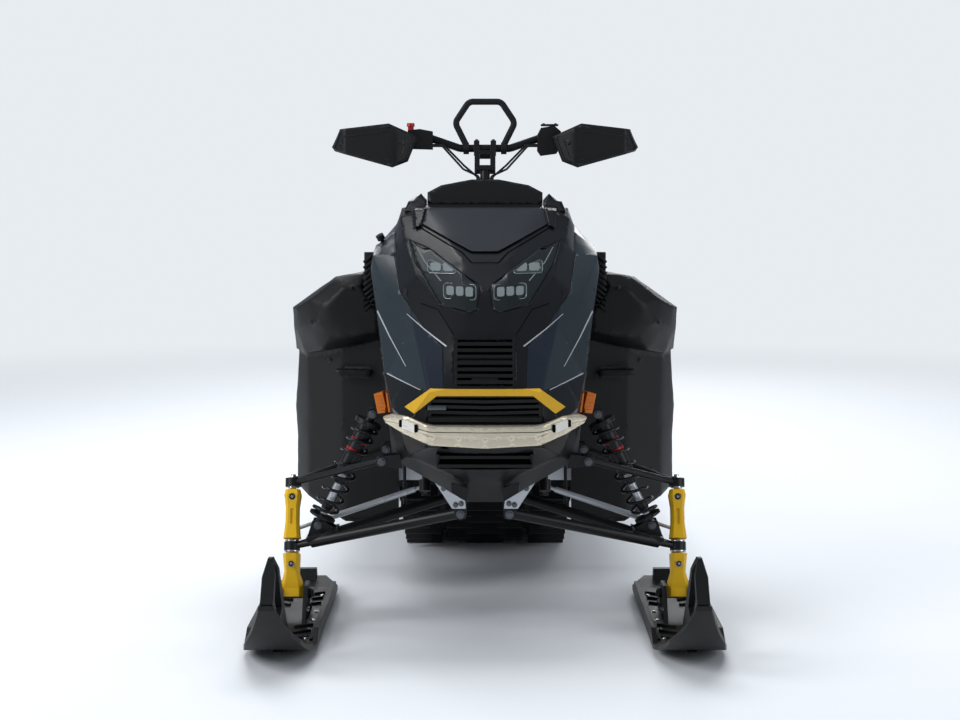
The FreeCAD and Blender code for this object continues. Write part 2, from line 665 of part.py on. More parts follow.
# The body's cross sections. Each row: y behind the spindles, then x and z of one half's keel, chine, widest line,
# crease, ledge, shoulder and crown.
BODY = (
    (-292, 60, 505, 140, 515, 186, 575, 134, 645, 100, 652, 72, 658, 36, 662),
    (-200, 50, 420, 190, 480, 232, 600, 153, 725, 104, 752, 78, 778, 40, 784),
    (-100, 42, 345, 222, 448, 254, 668, 190, 785, 163, 806, 120, 850, 56, 884),
    (20, 40, 333, 243, 446, 276, 800, 248, 850, 219, 876, 178, 916, 62, 958),
    (180, 40, 333, 243, 446, 307, 930, 300, 962, 240, 966, 214, 998, 115, 1030),
    (300, 40, 333, 243, 446, 308, 925, 298, 985, 243, 1022, 231, 1060, 158, 1084),
    (380, 40, 333, 243, 446, 306, 920, 296, 985, 246, 1040, 230, 1086, 158, 1096),
    (445, 40, 333, 243, 446, 304, 900, 294, 970, 244, 1030, 226, 1080, 158, 1096),
    (BULKHEAD_Y, 40, 333, 243, 446, 300, 870, 288, 940, 238, 1008, 216, 1064, 158, 1096),
)
COWL_LOW_Z = TUNNEL_TOP_Z + FIT
COWL_BEND_Z = COWL_LOW_Z + ROOT
COWL = (
    (BULKHEAD_Y, 200, COWL_LOW_Z, 262, COWL_BEND_Z, 300, 870, 288, 940, 238, 1008, 216, 1064, 158, 1096),
    (640, 200, COWL_LOW_Z, 262, COWL_BEND_Z, 285, 800, 272, 862, 235, 925, 200, 985, 120, 1040),
    (COWL_END_Y, 190, COWL_LOW_Z, 240, COWL_BEND_Z, 255, 740, 243, 790, 210, 850, 180, 900, 120, 960),
)
SIDE_X = 400.0
FRONT_Y = BODY[0][0] - 60
TOP_Z = 1400.0
LOW_Z = 200.0

# Front-view outlines of one half, from the bottom up, in x and z.
MASK_HALF = [(100, 600), (100, 652), (104, 752), (163, 806), (219, 876), (240, 966), (243, 1022), (246, 1040),
             (246, 1300)]
SCREEN_HALF = [(34, 979), (168, 1046), (158, 1088)]
RIM_OUTLINE = [(171, 1044), (188, 1036), (196, 1086), (162, 1086)]
EAR_OUTLINE = [(163, 1080), (163, 1106), (178, 1125), (212, 1104), (222, 1078)]
EAR_SIDE = [(318, 1070), (418, 1125), (452, 1125), (462, 1070)]
LAMP = [(-198, 1004), (-179, 949), (-110, 852), (-37, 836), (-21, 843), (-13, 893), (-19, 902), (-143, 984),
        (-168, 984)]
TRIM_HALF = [(118, 641), (172, 598), (198, 609), (134, 658)]
BUMPER_HALF = [(0, 517), (133, 523), (153, 530), (205, 550), (247, 567), (253, 579), (230, 589), (189, 591),
               (145, 574), (125, 570), (0, 569)]
BUMPER_RIDGE_HALF = [(0, 540), (129, 545), (150, 551), (204, 570), (248, 573), (253, 579), (230, 589), (189, 591),
                     (145, 574), (125, 570), (0, 569)]
REFLECTOR = [(-285, 574), (-236, 574), (-236, 622), (-285, 626)]
CONSOLE_HALF = [(160, 1096), (160, 1128), (122, 1148), (37, 1164)]
# The lower edge of the upper panels in side view, as y and z.
PANEL_EDGE = [(FRONT_Y, 643), (-250, 656), (-70, 679), (BULKHEAD_Y + 20, 679)]


def offset_outline(points, d):
    # Moves each side of a closed anticlockwise outline out by d.
    result = []
    n = len(points)
    for i in range(n):
        ax, az = points[i - 1]
        bx, bz = points[i]
        cx, cz = points[(i + 1) % n]
        e1 = math.hypot(bx - ax, bz - az)
        e2 = math.hypot(cx - bx, cz - bz)
        n1 = ((bz - az) / e1, -(bx - ax) / e1)
        n2 = ((cz - bz) / e2, -(cx - bx) / e2)
        k = d / (1 + n1[0] * n2[0] + n1[1] * n2[1])
        result.append((bx + k * (n1[0] + n2[0]), bz + k * (n1[1] + n2[1])))
    return result


def row_points(row):
    return [(row[k], row[k + 1]) for k in range(1, len(row), 2)]


def body_loft(rows, d, front, back):
    # The closed form of the table's rows, each outline moved out by d and the two ends by d times front and back.
    wires = []
    for i, row in enumerate(rows):
        y = row[0]
        if i == 0:
            y = y - d * front
        if i == len(rows) - 1:
            y = y + d * back
        ring = [V(x, at(y), z) for x, z in offset_outline(both_halves(row_points(row)), d)]
        wires.append(Part.makePolygon(ring + [ring[0]]))
    return Part.makeLoft(wires, True, True)


def half_section(y):
    # The x, z pairs of one half of the body at y, between the rows of the table.
    for a, b in zip(BODY, BODY[1:]):
        if a[0] <= y <= b[0]:
            t = (y - a[0]) / (b[0] - a[0])
            return row_points([0] + [p + t * (q - p) for p, q in zip(a[1:], b[1:])])


def belly_z(x, y):
    (x0, z0), (x1, z1) = half_section(y)[:2]
    return z0 + (z1 - z0) * max(0.0, x - x0) / (x1 - x0)


def crown_y(z):
    # Where the middle line of the nose reaches height z.
    for a, b in zip(BODY, BODY[1:]):
        if a[-1] <= z <= b[-1]:
            return a[0] + (b[0] - a[0]) * (z - a[-1]) / (b[-1] - a[-1])


def mirrored_outline(half):
    return half + [(-x, z) for x, z in reversed(half) if x > 0]


inner_body = body_loft(BODY, -WALL, 1, -1)
shell = body_loft(BODY, 0, 1, 0).cut(inner_body)
proud_body = body_loft(BODY, SCREEN_PROUD, 1, 0).cut(body_loft(BODY, FIT, 1, 0))
upper_edge = PANEL_EDGE + [(BULKHEAD_Y + 20, TOP_Z), (FRONT_Y, TOP_Z)]
lower_edge = [(y, z - PANEL_GAP) for y, z in PANEL_EDGE] + [(BULKHEAD_Y + 20, LOW_Z), (FRONT_Y, LOW_Z)]
above = prism_x(upper_edge, -SIDE_X, SIDE_X)
lower_shell = shell.common(prism_x(lower_edge, -SIDE_X, SIDE_X))


def in_front_view(outline, y0=FRONT_Y, y1=BULKHEAD_Y + 20):
    return prism_y(outline, y0, y1)


def across(half, y0, y1, z0, z1):
    # A block from side to side between two distances behind the spindles.
    return box(-half, half, at(y0), at(y1), z0, z1)


def nose_mask():
    # The hood between the two ledges, with the rims and ears beside the screen and holes for grille and lamps.
    outline = offset_outline(both_halves(MASK_HALF), SEAM_OUT)
    piece = shell.common(in_front_view(outline)).common(above)
    rim = body_loft(BODY, SCREEN_PROUD + ROOT, 1, 0).cut(inner_body).common(in_front_view(RIM_OUTLINE, 200, 400))
    ear = in_front_view(EAR_OUTLINE).common(prism_x(EAR_SIDE, -SIDE_X, SIDE_X)).cut(inner_body)
    piece = fused([piece, rim, mirrored(rim), ear, mirrored(ear)])
    lamp_hole = in_front_view(offset_outline(LAMP, PANEL_GAP), -160, 250)
    grille_hole = across(GRILLE_HALF, FRONT_Y, 0, GRILLE_LOW_Z, GRILLE_TOP_Z)
    return piece.cut([grille_hole, lamp_hole, mirrored(lamp_hole)])


def side_panel():
    hole = in_front_view(offset_outline(both_halves(MASK_HALF), SEAM_OUT + PANEL_GAP))
    left_half = box(-SIDE_X, 0, at(FRONT_Y), at(BULKHEAD_Y + 20), LOW_Z, TOP_Z)
    return shell.common(above).cut(hole).common(left_half)


def headlight():
    lens = body_loft(BODY, LENS_PROUD, 1, 0).cut(body_loft(BODY, -LENS_DEEP, 1, -1))
    return lens.common(in_front_view(LAMP, -160, 250))


def windshield():
    return proud_body.common(in_front_view(both_halves(SCREEN_HALF), -20, 372))


def gauge_console():
    # The hood over the gauges, highest at its front edge, on the flat top of the body.
    side = [(CONSOLE_FRONT_Y, 1096 + FIT), (CONSOLE_FRONT_Y + 30, 1164), (CONSOLE_FRONT_Y + 52, 1164),
            (CONSOLE_REAR_Y, 1118), (CONSOLE_REAR_Y, 1096 + FIT)]
    return in_front_view(both_halves(CONSOLE_HALF)).common(prism_x(side, -SIDE_X, SIDE_X))


node("nose_mask", nose_mask())
alike("headlights", headlight())
alike("side_panels", side_panel())
node("windshield", windshield())
node("gauge_console", gauge_console())

knob_foot = V(-276, at(300), 990)
knob_way = V(-0.45, -0.3, 0.84).normalize()
knob_neck = rod(knob_foot, knob_foot + knob_way * 16, 6)
knob = fused([knob_neck, rod(knob_foot + knob_way * 14, knob_foot + knob_way * 28, 11)])
node("starter_knob", knob.cut(body_loft(BODY, FIT, 1, 0)))


def grille_bars():
    # Slats between two side rails, following the slope of the nose.
    low, top = GRILLE_LOW_Z, GRILLE_TOP_Z
    bars = []
    for i in range(GRILLE_SLATS):
        z = low + 10 + i * (top - low - 20) / (GRILLE_SLATS - 1)
        y = crown_y(z)
        bars.append(prism_x([(y + 1, z - 5), (y + SLAT_DEPTH, z - 9), (y + SLAT_DEPTH, z - 1), (y + 2, z + 4)],
                            -GRILLE_HALF + 4, GRILLE_HALF - 4))
    y0, y1 = crown_y(low + 1), crown_y(top - 1)
    middle_z = (low + top) / 2
    rail_yz = [(y0 + 4, low + FIT), (y0 + 34, low + FIT), (y1 + 32, top - FIT), (y1 + 4, top - FIT),
               (crown_y(middle_z) + 4, middle_z)]
    rail = prism_x(rail_yz, -GRILLE_HALF + FIT, -GRILLE_HALF + GRILLE_RAIL)
    return fused(bars + [rail, mirrored(rail)])


node("centre_grille", grille_bars())



nose = lower_shell.common(across(SIDE_X, FRONT_Y, SUBFRAME_FRONT_Y - PANEL_GAP, LOW_Z, TOP_Z))
node("nose_panel", nose.cut([across(LOWER_GRILLE_HALF, FRONT_Y, -270, LOWER_GRILLE_LOW_Z, LOWER_GRILLE_TOP_Z),
                             across(CHIN_HALF, FRONT_Y, -200, CHIN_LOW_Z, CHIN_TOP_Z)]))


def v_slats(heights, half, y0, y1, drop):
    # Bars that sag by drop in the middle.
    slats = []
    for z in heights:
        slats.append(prism_y([(-half, z + 4), (0, z + 4 - drop), (half, z + 4), (half, z - 4),
                              (0, z - 4 - drop), (-half, z - 4)], y0, y1))
    return slats


def nose_slats():
    # Three bars over a wide moulding that stands proud under them.
    rail = box(-LOWER_GRILLE_HALF + FIT, -LOWER_GRILLE_HALF + GRILLE_RAIL, at(-291), at(-270),
               LOWER_GRILLE_LOW_Z + 1, LOWER_GRILLE_TOP_Z - 1)
    moulding = prism_x([(-296, 577), (-296, 588), (-288, 592), (-272, 592), (-272, 575), (-290, 575)],
                       -LOWER_GRILLE_HALF + FIT, LOWER_GRILLE_HALF - FIT)
    return fused(v_slats((629, 615, 601), LOWER_GRILLE_HALF - 4, -291, -272, 3) + [rail, mirrored(rail), moulding])


def chin_slats():
    rail_yz = [(-275, 494), (-240, 494), (-225, 452), (-232, 452)]
    rail = prism_x(rail_yz, -CHIN_HALF + FIT, -CHIN_HALF + GRILLE_RAIL)
    return fused(v_slats((485, 463), CHIN_HALF - 4, -262, -232, 0) + [rail, mirrored(rail)])


node("lower_grille", nose_slats(), chin_slats())
node("nose_trim", proud_body.common(in_front_view(both_halves(TRIM_HALF), FRONT_Y, -150)))


def front_bumper():
    # A bar that wraps the nose. Its upper band stands out over the lower one.
    def plan(out):
        right = [(0, -334 - out), (140, -323 - out), (200, -290 - out), (264, -210 - out)]
        back = [(246, -200), (198, -272), (187, BODY[0][0] - 0.4)]
        half = right + back
        return prism_z(half + [(-x, y) for x, y in reversed(half) if x > 0], 480, 620)
    low = in_front_view(mirrored_outline(BUMPER_HALF), FRONT_Y, -150).common(plan(0))
    ridge = in_front_view(mirrored_outline(BUMPER_RIDGE_HALF), FRONT_Y, -150).common(plan(5))
    return fused([low, ridge])


node("front_bumper", front_bumper())
alike("side_reflectors", proud_body.common(in_front_view(REFLECTOR, REFLECTOR_FRONT_Y, REFLECTOR_REAR_Y)))


# Front subframe: the open lower shell with the arm pivots and shock towers
def ears_at(outline, y, apart):
    # Two plates of one outline on both sides of an eye that is 2 * apart long.
    reach = apart + FIT
    return [prism_y(outline, y + reach, y + reach + EAR_WALL), prism_y(outline, y - reach - EAR_WALL, y - reach)]


def cross_bolt(x, y, z, half):
    return rod(V(-x, at(y) - half, z), V(-x, at(y) + half, z), ARM_BOLT_R)


def subframe():
    middle = lower_shell.common(across(SIDE_X, SUBFRAME_FRONT_Y, SUBFRAME_REAR_Y, LOW_Z, TOP_Z))
    eye_half = ARM_EYE_LENGTH / 2
    extra = []
    for side in (-1, 1):
        y = side * UPPER_SPREAD
        x, z = UPPER_INNER_X, UPPER_INNER_Z
        (x1, z1), (x2, z2) = half_section(y)[1:3]
        root = -(x1 + (x2 - x1) * (z - z1) / (z2 - z1)) + 3
        bracket = [(-x - 13, z - 10), (-x - 13, z + 10), (root, z + 18), (root + 8, z - 18)]
        extra += ears_at(bracket, y, eye_half)
        extra.append(cross_bolt(x, y, z, eye_half + 8))
        y = side * LOWER_SPREAD
        x, z = LOWER_INNER_X, LOWER_INNER_Z
        top = belly_z(x, y)
        bracket = [(-x - 14, z - 10), (-x + 14, z - 10), (-x + 20, top + 2), (-x - 24, top + 18)]
        extra += ears_at(bracket, y, eye_half)
        extra.append(cross_bolt(x, y, z, eye_half + 4))
    x, z = SHOCK_TOP_X, SHOCK_TOP_Z
    tower = [(-252, z - 14), (-x + 2, z - 14), (-x - 13, z - 5), (-x - 13, z + 11), (-x, z + 19), (-252, z + 32)]
    extra += ears_at(tower, SHOCK_Y, SHOCK_EYE_HALF)
    extra.append(cross_bolt(x, SHOCK_Y, z, SHOCK_EYE_HALF + 11))
    sway_top = V(-SWAY_X, at(SWAY_Y), SWAY_TOP_Z + FIT)
    extra.append(rod(sway_top, V(-SWAY_X, at(SWAY_Y), belly_z(SWAY_X, SWAY_Y) + 3), 8))
    beds = [across(238, y0, y1, 448, ENGINE_LOW_Z - FIT) for y0, y1 in ((100, 140), (215, 250))]
    whole = fused([middle] + extra + [mirrored(e) for e in extra] + beds)
    shaft = rod(SWIVEL_PIVOT - AXIS * 40, SWIVEL_PIVOT + AXIS * 90, KING_PIN_R + PIN_FIT)
    return whole.cut([shaft, mirrored(shaft)])


sway_foot = V(-SWAY_X, at(SWAY_Y), lower_arm_z(SWAY_X) + LOWER_ARM_R + FIT)
node("front_subframe", subframe())
alike("sway_links", rod(sway_foot, V(-SWAY_X, at(SWAY_Y), SWAY_TOP_Z), SWAY_R))
plate_y = -LOWER_SPREAD - ARM_EYE_LENGTH / 2 - FIT - EAR_WALL - FIT
plate_xz = [(-126, 408), (-101, 370), (-83, 342), (-48, 342), (-50, 362)]
alike("pivot_plates", prism_y(plate_xz, plate_y - PIVOT_PLATE, plate_y))
node("belly_pan", lower_shell.common(across(SIDE_X, SUBFRAME_REAR_Y + PANEL_GAP, BULKHEAD_Y + 20, LOW_Z, TOP_Z)))
node("engine_block", across(ENGINE_HALF, 70, 420, ENGINE_LOW_Z, 780))

# Steering column frame: Z goes up the column from the floor to the bar's middle.
BAR_MID = V(0, at(BAR_Y), BAR_Z)


def lean(shape):
    # From the bar's own frame, whose Z is the steering column, to the machine.
    copy = shape.copy()
    copy.rotate(V(0, 0, 0), V(1, 0, 0), -COLUMN_RAKE_DEG)
    copy.translate(BAR_MID)
    return copy


def rear_cowl():
    # The cover behind the hood, with the seat of the steering bearing.
    cowl = body_loft(COWL, 0, 0, 0).cut(body_loft(COWL, -WALL, 2, 2))
    gap = box(-SIDE_X, SIDE_X, at(BULKHEAD_Y) - 1, at(BULKHEAD_Y) + FIT, LOW_Z, TOP_Z)
    bore = lean(rod(V(0, 0, -BEARING_TOP - BEARING_LENGTH - 30), V(0, 0, -BEARING_TOP + 30), BEARING_R + FIT))
    return cowl.cut([gap, bore])


node("rear_cowl", rear_cowl())
node("steering_bearing", lean(pipe(V(0, 0, -BEARING_TOP - BEARING_LENGTH), V(0, 0, -BEARING_TOP), BEARING_R,
                                   POST_R + PIN_FIT)))


# Side deflectors: an outer wall over the running board's front end and a closed pod on top of it
WALL_OUTLINE = [(-240, 900), (-330, 900), (-388, 880), (-480, 845), (-530, 806), (-521, 767), (-536, 590),
                (-545, 516), (-537, 435), (-539, 296), (-480, 262), (-390, 212), (-240, 212)]
WALL_PLAN = [(-230, 322), (-400, 350), (-500, 418), (-549, 515), (-549, 700), (-541, 700), (-541, 519),
             (-494, 427), (-397, 359), (-230, 331)]
# Each row: y, then x and z of eight points from the inner bottom corner, outwards and up.
POD = (
    (286, -292, 752, -350, 740, -420, 742, -448, 778, -436, 822, -390, 868, -345, 872, -292, 800),
    (330, -284, 724, -350, 710, -452, 694, -490, 768, -484, 834, -394, 908, -330, 904, -284, 790),
    (400, -280, 712, -370, 690, -505, 680, -528, 748, -528, 808, -420, 892, -320, 914, -270, 820),
    (520, -270, 700, -400, 680, -540, 682, -549, 736, -549, 800, -440, 880, -320, 906, -262, 820),
    (650, -255, 760, -400, 758, -515, 760, -540, 776, -536, 802, -440, 850, -320, 874, -255, 830),
)
SHELF = [(-412, 628), (-412, 642), (-316, 640), (-316, 622)]


def deflector():
    wall = prism_y(WALL_OUTLINE, 300, 720).common(prism_z(WALL_PLAN, 150, 1000))
    wires = []
    for row in POD:
        ring = [V(x, at(row[0]), z) for x, z in row_points(row)]
        wires.append(Part.makePolygon(ring + [ring[0]]))
    pod = Part.makeLoft(wires, True, True)
    shelf = prism_y(SHELF, 306, 348)
    piece = fused([wall, pod, shelf])
    keep_out = [body_loft(BODY, FIT, 1, 0), body_loft(COWL, FIT, 0, 1),
                box(-TUNNEL_HALF - FIT, 0, at(TUNNEL_FRONT_Y) - 1, at(900), LOW_Z - 50, TUNNEL_TOP_Z + 1)]
    return piece.cut(keep_out)


alike("side_deflectors", deflector())


def tunnel():
    f, r, w = at(TUNNEL_FRONT_Y), at(TUNNEL_REAR_Y), TUNNEL_WALL
    whole = box(-TUNNEL_HALF, TUNNEL_HALF, f, r, TUNNEL_LOW_Z, TUNNEL_TOP_Z)
    hollow = box(-TUNNEL_HALF + w, TUNNEL_HALF - w, f + w, r + 10, TUNNEL_LOW_Z - 10, TUNNEL_TOP_Z - w)
    end_y, under_z = TUNNEL_REAR_Y + 10, TUNNEL_LOW_Z - 5
    rear_rise = prism_x([(1500, under_z), (end_y, under_z), (end_y, 430), (2000, 400)], -SIDE_X, SIDE_X)
    holes = []
    for y in (ANCHOR_Y - ANCHOR_DY / 2, ANCHOR_Y + ANCHOR_DY / 2):
        hole = rod(V(ANCHOR_DX / 2, at(y), TUNNEL_TOP_Z - 10), V(ANCHOR_DX / 2, at(y), TUNNEL_TOP_Z + 10), ANCHOR_R)
        holes += [hole, mirrored(hole)]
    return whole.cut([hollow, rear_rise] + holes)


def running_board():
    x0, x1, z = -BOARD_OUTER_X, -TUNNEL_HALF - FIT, BOARD_Z
    front, taper_y = BOARD_FRONT_Y + FIT, BOARD_REAR_Y - BOARD_TAPER
    plate = prism_z([(x1, front), (x1, BOARD_REAR_Y), (x0 + 60, BOARD_REAR_Y), (x0, taper_y), (x0, front)],
                    z, z + BOARD_PLATE)
    first, last = int(BOARD_FRONT_Y) + 60, int(taper_y) - 60
    slots = [box(x0 + 30, x1 - 25, at(y), at(y) + BOARD_SLOT, z - 5, z + BOARD_PLATE + 5)
             for y in range(first, last, int(BOARD_PITCH))]
    edge = rod(V(x0, at(front), z + 8), V(x0, at(taper_y), z + 8), BOARD_TUBE_R)
    flange = box(x1 - 5, x1, at(front), at(taper_y) - 300, z, z + BOARD_FLANGE)
    return fused([plate.cut(slots), edge, flange])


node("tunnel", tunnel())
alike("running_boards", running_board())

# The track runs outside three circles: drive drum, rail bend and rear idler. Each row: y, z and radius of one.
GROUND_IN = LUG_HEIGHT + BELT
WHEELS = (
    (DRIVE_Y, DRIVE_Z, DRIVE_R),
    (RAIL_BEND_Y, GROUND_IN + RAIL_BEND_R, RAIL_BEND_R),
    (IDLER_Y, GROUND_IN + IDLER_R, IDLER_R),
)
# Where the lugs of one row stand, as pairs of x. The rows follow each other round the belt.
LUG_BLOCKS = (
    ((-250, -138), (-60, 60), (138, 250)),
    ((-250, -170), (-118, -40), (40, 118), (170, 250)),
)


def belt_path(d):
    # The loop as runs and arcs: ("run", from y, z, to y, z) and ("arc", y, z, radius, first angle, last angle).
    count = len(WHEELS)
    touch = []
    for i in range(count):
        y1, z1, r1 = WHEELS[i]
        y2, z2, r2 = WHEELS[(i + 1) % count]
        dy, dz = y2 - y1, z2 - z1
        gap = math.hypot(dy, dz)
        slope = (r1 - r2) / gap
        side = math.sqrt(1 - slope * slope)
        touch.append((dy / gap * slope + dz / gap * side, dz / gap * slope - dy / gap * side))
    path = []
    for i in range(count):
        y1, z1, r1 = WHEELS[i]
        y2, z2, r2 = WHEELS[(i + 1) % count]
        ny, nz = touch[i]
        path.append(("run", y1 + (r1 + d) * ny, z1 + (r1 + d) * nz, y2 + (r2 + d) * ny, z2 + (r2 + d) * nz))
        my, mz = touch[(i + 1) % count]
        a0 = math.atan2(nz, ny)
        a1 = math.atan2(mz, my)
        while a1 < a0:
            a1 += 2 * math.pi
        path.append(("arc", y2, z2, r2 + d, a0, a1))
    return path


def step_length(step):
    if step[0] == "run":
        return math.hypot(step[3] - step[1], step[4] - step[2])
    return step[3] * (step[5] - step[4])


def belt_wire(d, x):
    edges = []
    for step in belt_path(d):
        if step[0] == "run":
            edges.append(Part.LineSegment(V(x, at(step[1]), step[2]), V(x, at(step[3]), step[4])).toShape())
        else:
            points = []
            for a in (step[4], (step[4] + step[5]) / 2, step[5]):
                points.append(V(x, at(step[1] + step[3] * math.cos(a)), step[2] + step[3] * math.sin(a)))
            edges.append(Part.Arc(points[0], points[1], points[2]).toShape())
    return Part.Wire(edges)


def belt_place(path, s):
    # The point and outward direction of the loop at length s along it.
    for step in path:
        length = step_length(step)
        if s <= length and step[0] == "run":
            uy, uz = (step[3] - step[1]) / length, (step[4] - step[2]) / length
            return step[1] + uy * s, step[2] + uz * s, uz, -uy
        if s <= length:
            a = step[4] + s / step[3]
            return step[1] + step[3] * math.cos(a), step[2] + step[3] * math.sin(a), math.cos(a), math.sin(a)
        s -= length


def track():
    outer = Part.Face(belt_wire(BELT, -TRACK_HALF)).extrude(V(2 * TRACK_HALF, 0, 0))
    inner = Part.Face(belt_wire(0, -TRACK_HALF - 5)).extrude(V(2 * TRACK_HALF + 10, 0, 0))
    path = belt_path(BELT)
    total = sum(step_length(step) for step in path)
    lugs = []
    h, t = LUG_BASE / 2, LUG_TIP / 2
    for i in range(LUG_COUNT):
        y, z, ny, nz = belt_place(path, (i + 0.5) * total / LUG_COUNT)
        ty, tz = -nz, ny
        tip_y, tip_z = y + ny * LUG_HEIGHT, z + nz * LUG_HEIGHT
        yz = [(y - ny + ty * h, z - nz + tz * h), (tip_y + ty * t, tip_z + tz * t),
              (tip_y - ty * t, tip_z - tz * t), (y - ny - ty * h, z - nz - tz * h)]
        lugs += [prism_x(yz, x0, x1) for x0, x1 in LUG_BLOCKS[i % len(LUG_BLOCKS)]]
    return outer.cut(inner).multiFuse(lugs)


node("track", track())

# Running gear inside the track
IDLER_Z = GROUND_IN + IDLER_R
BOGIE_Z = GROUND_IN + BOGIE_R + FIT
RAIL_LOW_Z = GROUND_IN + FIT
RAIL_TOP_Z = RAIL_LOW_Z + RAIL_HEIGHT
CROSS_Z = RAIL_TOP_Z - 10
INNER_HALF = TUNNEL_HALF - TUNNEL_WALL - FIT


def wheel_set(y, z, axle_half, axle_r, wheel_r, width, places):
    wheels = [cross_disc(x, width, y, z, wheel_r) for x in places]
    return fused([cross_rod(axle_half, y, z, axle_r)] + wheels)


# Where the wheels and drums of each axle start in x.
IDLER_XS = (-200, -75, 45, 170)
BOGIE_XS = (-185, 185 - BOGIE_WIDTH)
DRUM_XS = (-200, -90, 56, 166)
node("idler_wheels", wheel_set(IDLER_Y, IDLER_Z, 225, IDLER_AXLE_R, IDLER_R - FIT, IDLER_WIDTH, IDLER_XS))
for y in BOGIE_YS:
    node("idler_wheels", wheel_set(y, BOGIE_Z, 190, BOGIE_AXLE_R, BOGIE_R, BOGIE_WIDTH, BOGIE_XS))
node("drive_axle", wheel_set(DRIVE_Y, DRIVE_Z, INNER_HALF, DRIVE_AXLE_R, DRIVE_R - FIT, DRUM_WIDTH, DRUM_XS))


def skid_rails():
    r = RAIL_BEND_R - FIT
    bend = []
    for deg in (44, 30, 15, 0):
        a = math.radians(deg)
        bend.append((RAIL_BEND_Y - r * math.sin(a), GROUND_IN + RAIL_BEND_R - r * math.cos(a)))
    end = IDLER_Y + 22
    yz = bend + [(IDLER_Y - 90, RAIL_LOW_Z), (IDLER_Y - 45, RAIL_LOW_Z + 30), (end, IDLER_Z - 14),
                 (end, IDLER_Z + 16), (IDLER_Y - 20, IDLER_Z + 16), (IDLER_Y - 80, RAIL_TOP_Z),
                 (RAIL_BEND_Y, RAIL_TOP_Z), (RAIL_BEND_Y - 90, 140)]
    one = prism_x(yz, -RAIL_X - RAIL_WIDTH / 2, -RAIL_X + RAIL_WIDTH / 2)
    windows = [prism_x([(y, RAIL_LOW_Z + 14), (y + 90, RAIL_LOW_Z + 14), (y + 72, RAIL_TOP_Z - 12),
                        (y + 18, RAIL_TOP_Z - 12)], -RAIL_X - RAIL_WIDTH, -RAIL_X + RAIL_WIDTH)
               for y in (1180, 1440, 1770, 2050)]
    one = one.cut(windows)
    tubes = [cross_rod(RAIL_X, y, CROSS_Z, CROSS_R) for y in CROSS_YS]
    whole = fused([one, mirrored(one)] + tubes)
    holes = [cross_rod(SIDE_X, IDLER_Y, IDLER_Z, IDLER_AXLE_R + FIT)]
    holes += [cross_rod(SIDE_X, y, BOGIE_Z, BOGIE_AXLE_R + FIT) for y in BOGIE_YS]
    return whole.cut(holes)


node("skid_rails", skid_rails())

# Skid arms and their shocks. Each row: y and z of an arm's lower and upper tube, then of its shock's two eyes.
ARM_LOW_R = SKID_ARM_R + 3
ARM_HIGH_R = SKID_ARM_R + 2
ARM_LOW_Z = RAIL_TOP_Z + ARM_LOW_R + FIT
SHOCK_SEAT_Z = CROSS_Z + CROSS_R + SKID_EYE_R + FIT
SKID_ARMS = (
    (1180, ARM_LOW_Z, 1000, 330, CROSS_YS[0], SHOCK_SEAT_Z, 1000 + ARM_HIGH_R + SKID_EYE_R + 0.7, 330),
    (2040, ARM_LOW_Z, 1740, 250, CROSS_YS[1], SHOCK_SEAT_Z, 1738, 250 - ARM_HIGH_R - SKID_EYE_R - 0.7),
)


def skid_arm(low_y, low_z, high_y, high_z):
    # Two side tubes between a lower cross tube over the rails and an upper one that ends at the tunnel's sides.
    a, b = V(-SKID_ARM_HALF, at(low_y), low_z), V(-SKID_ARM_HALF, at(high_y), high_z)
    way = (b - a).normalize()
    side = rod(a + way * 3, b - way * 3, SKID_ARM_R)
    low_tube = cross_rod(SKID_ARM_HALF + 14, low_y, low_z, ARM_LOW_R)
    high_tube = cross_rod(INNER_HALF, high_y, high_z, ARM_HIGH_R)
    return low_tube.multiFuse([side, mirrored(side), high_tube])


def skid_shock(low_y, low_z, high_y, high_z):
    a, b = V(0, at(low_y), low_z), V(0, at(high_y), high_z)
    way = (b - a).normalize()
    side = V(20, 0, 0)
    return fused([rod(a, b, SHOCK_ROD_R), rod(a + way * 40, b - way * 40, SKID_SHOCK_R),
                  rod(a - side, a + side, SKID_EYE_R), rod(b - side, b + side, SKID_EYE_R)])


for row in SKID_ARMS:
    node("skid_arms", skid_arm(*row[:4]))
    room = cross_rod(SIDE_X, row[2], row[3], ARM_HIGH_R + FIT)
    node("skid_shocks", skid_shock(*row[4:]).cut(room))

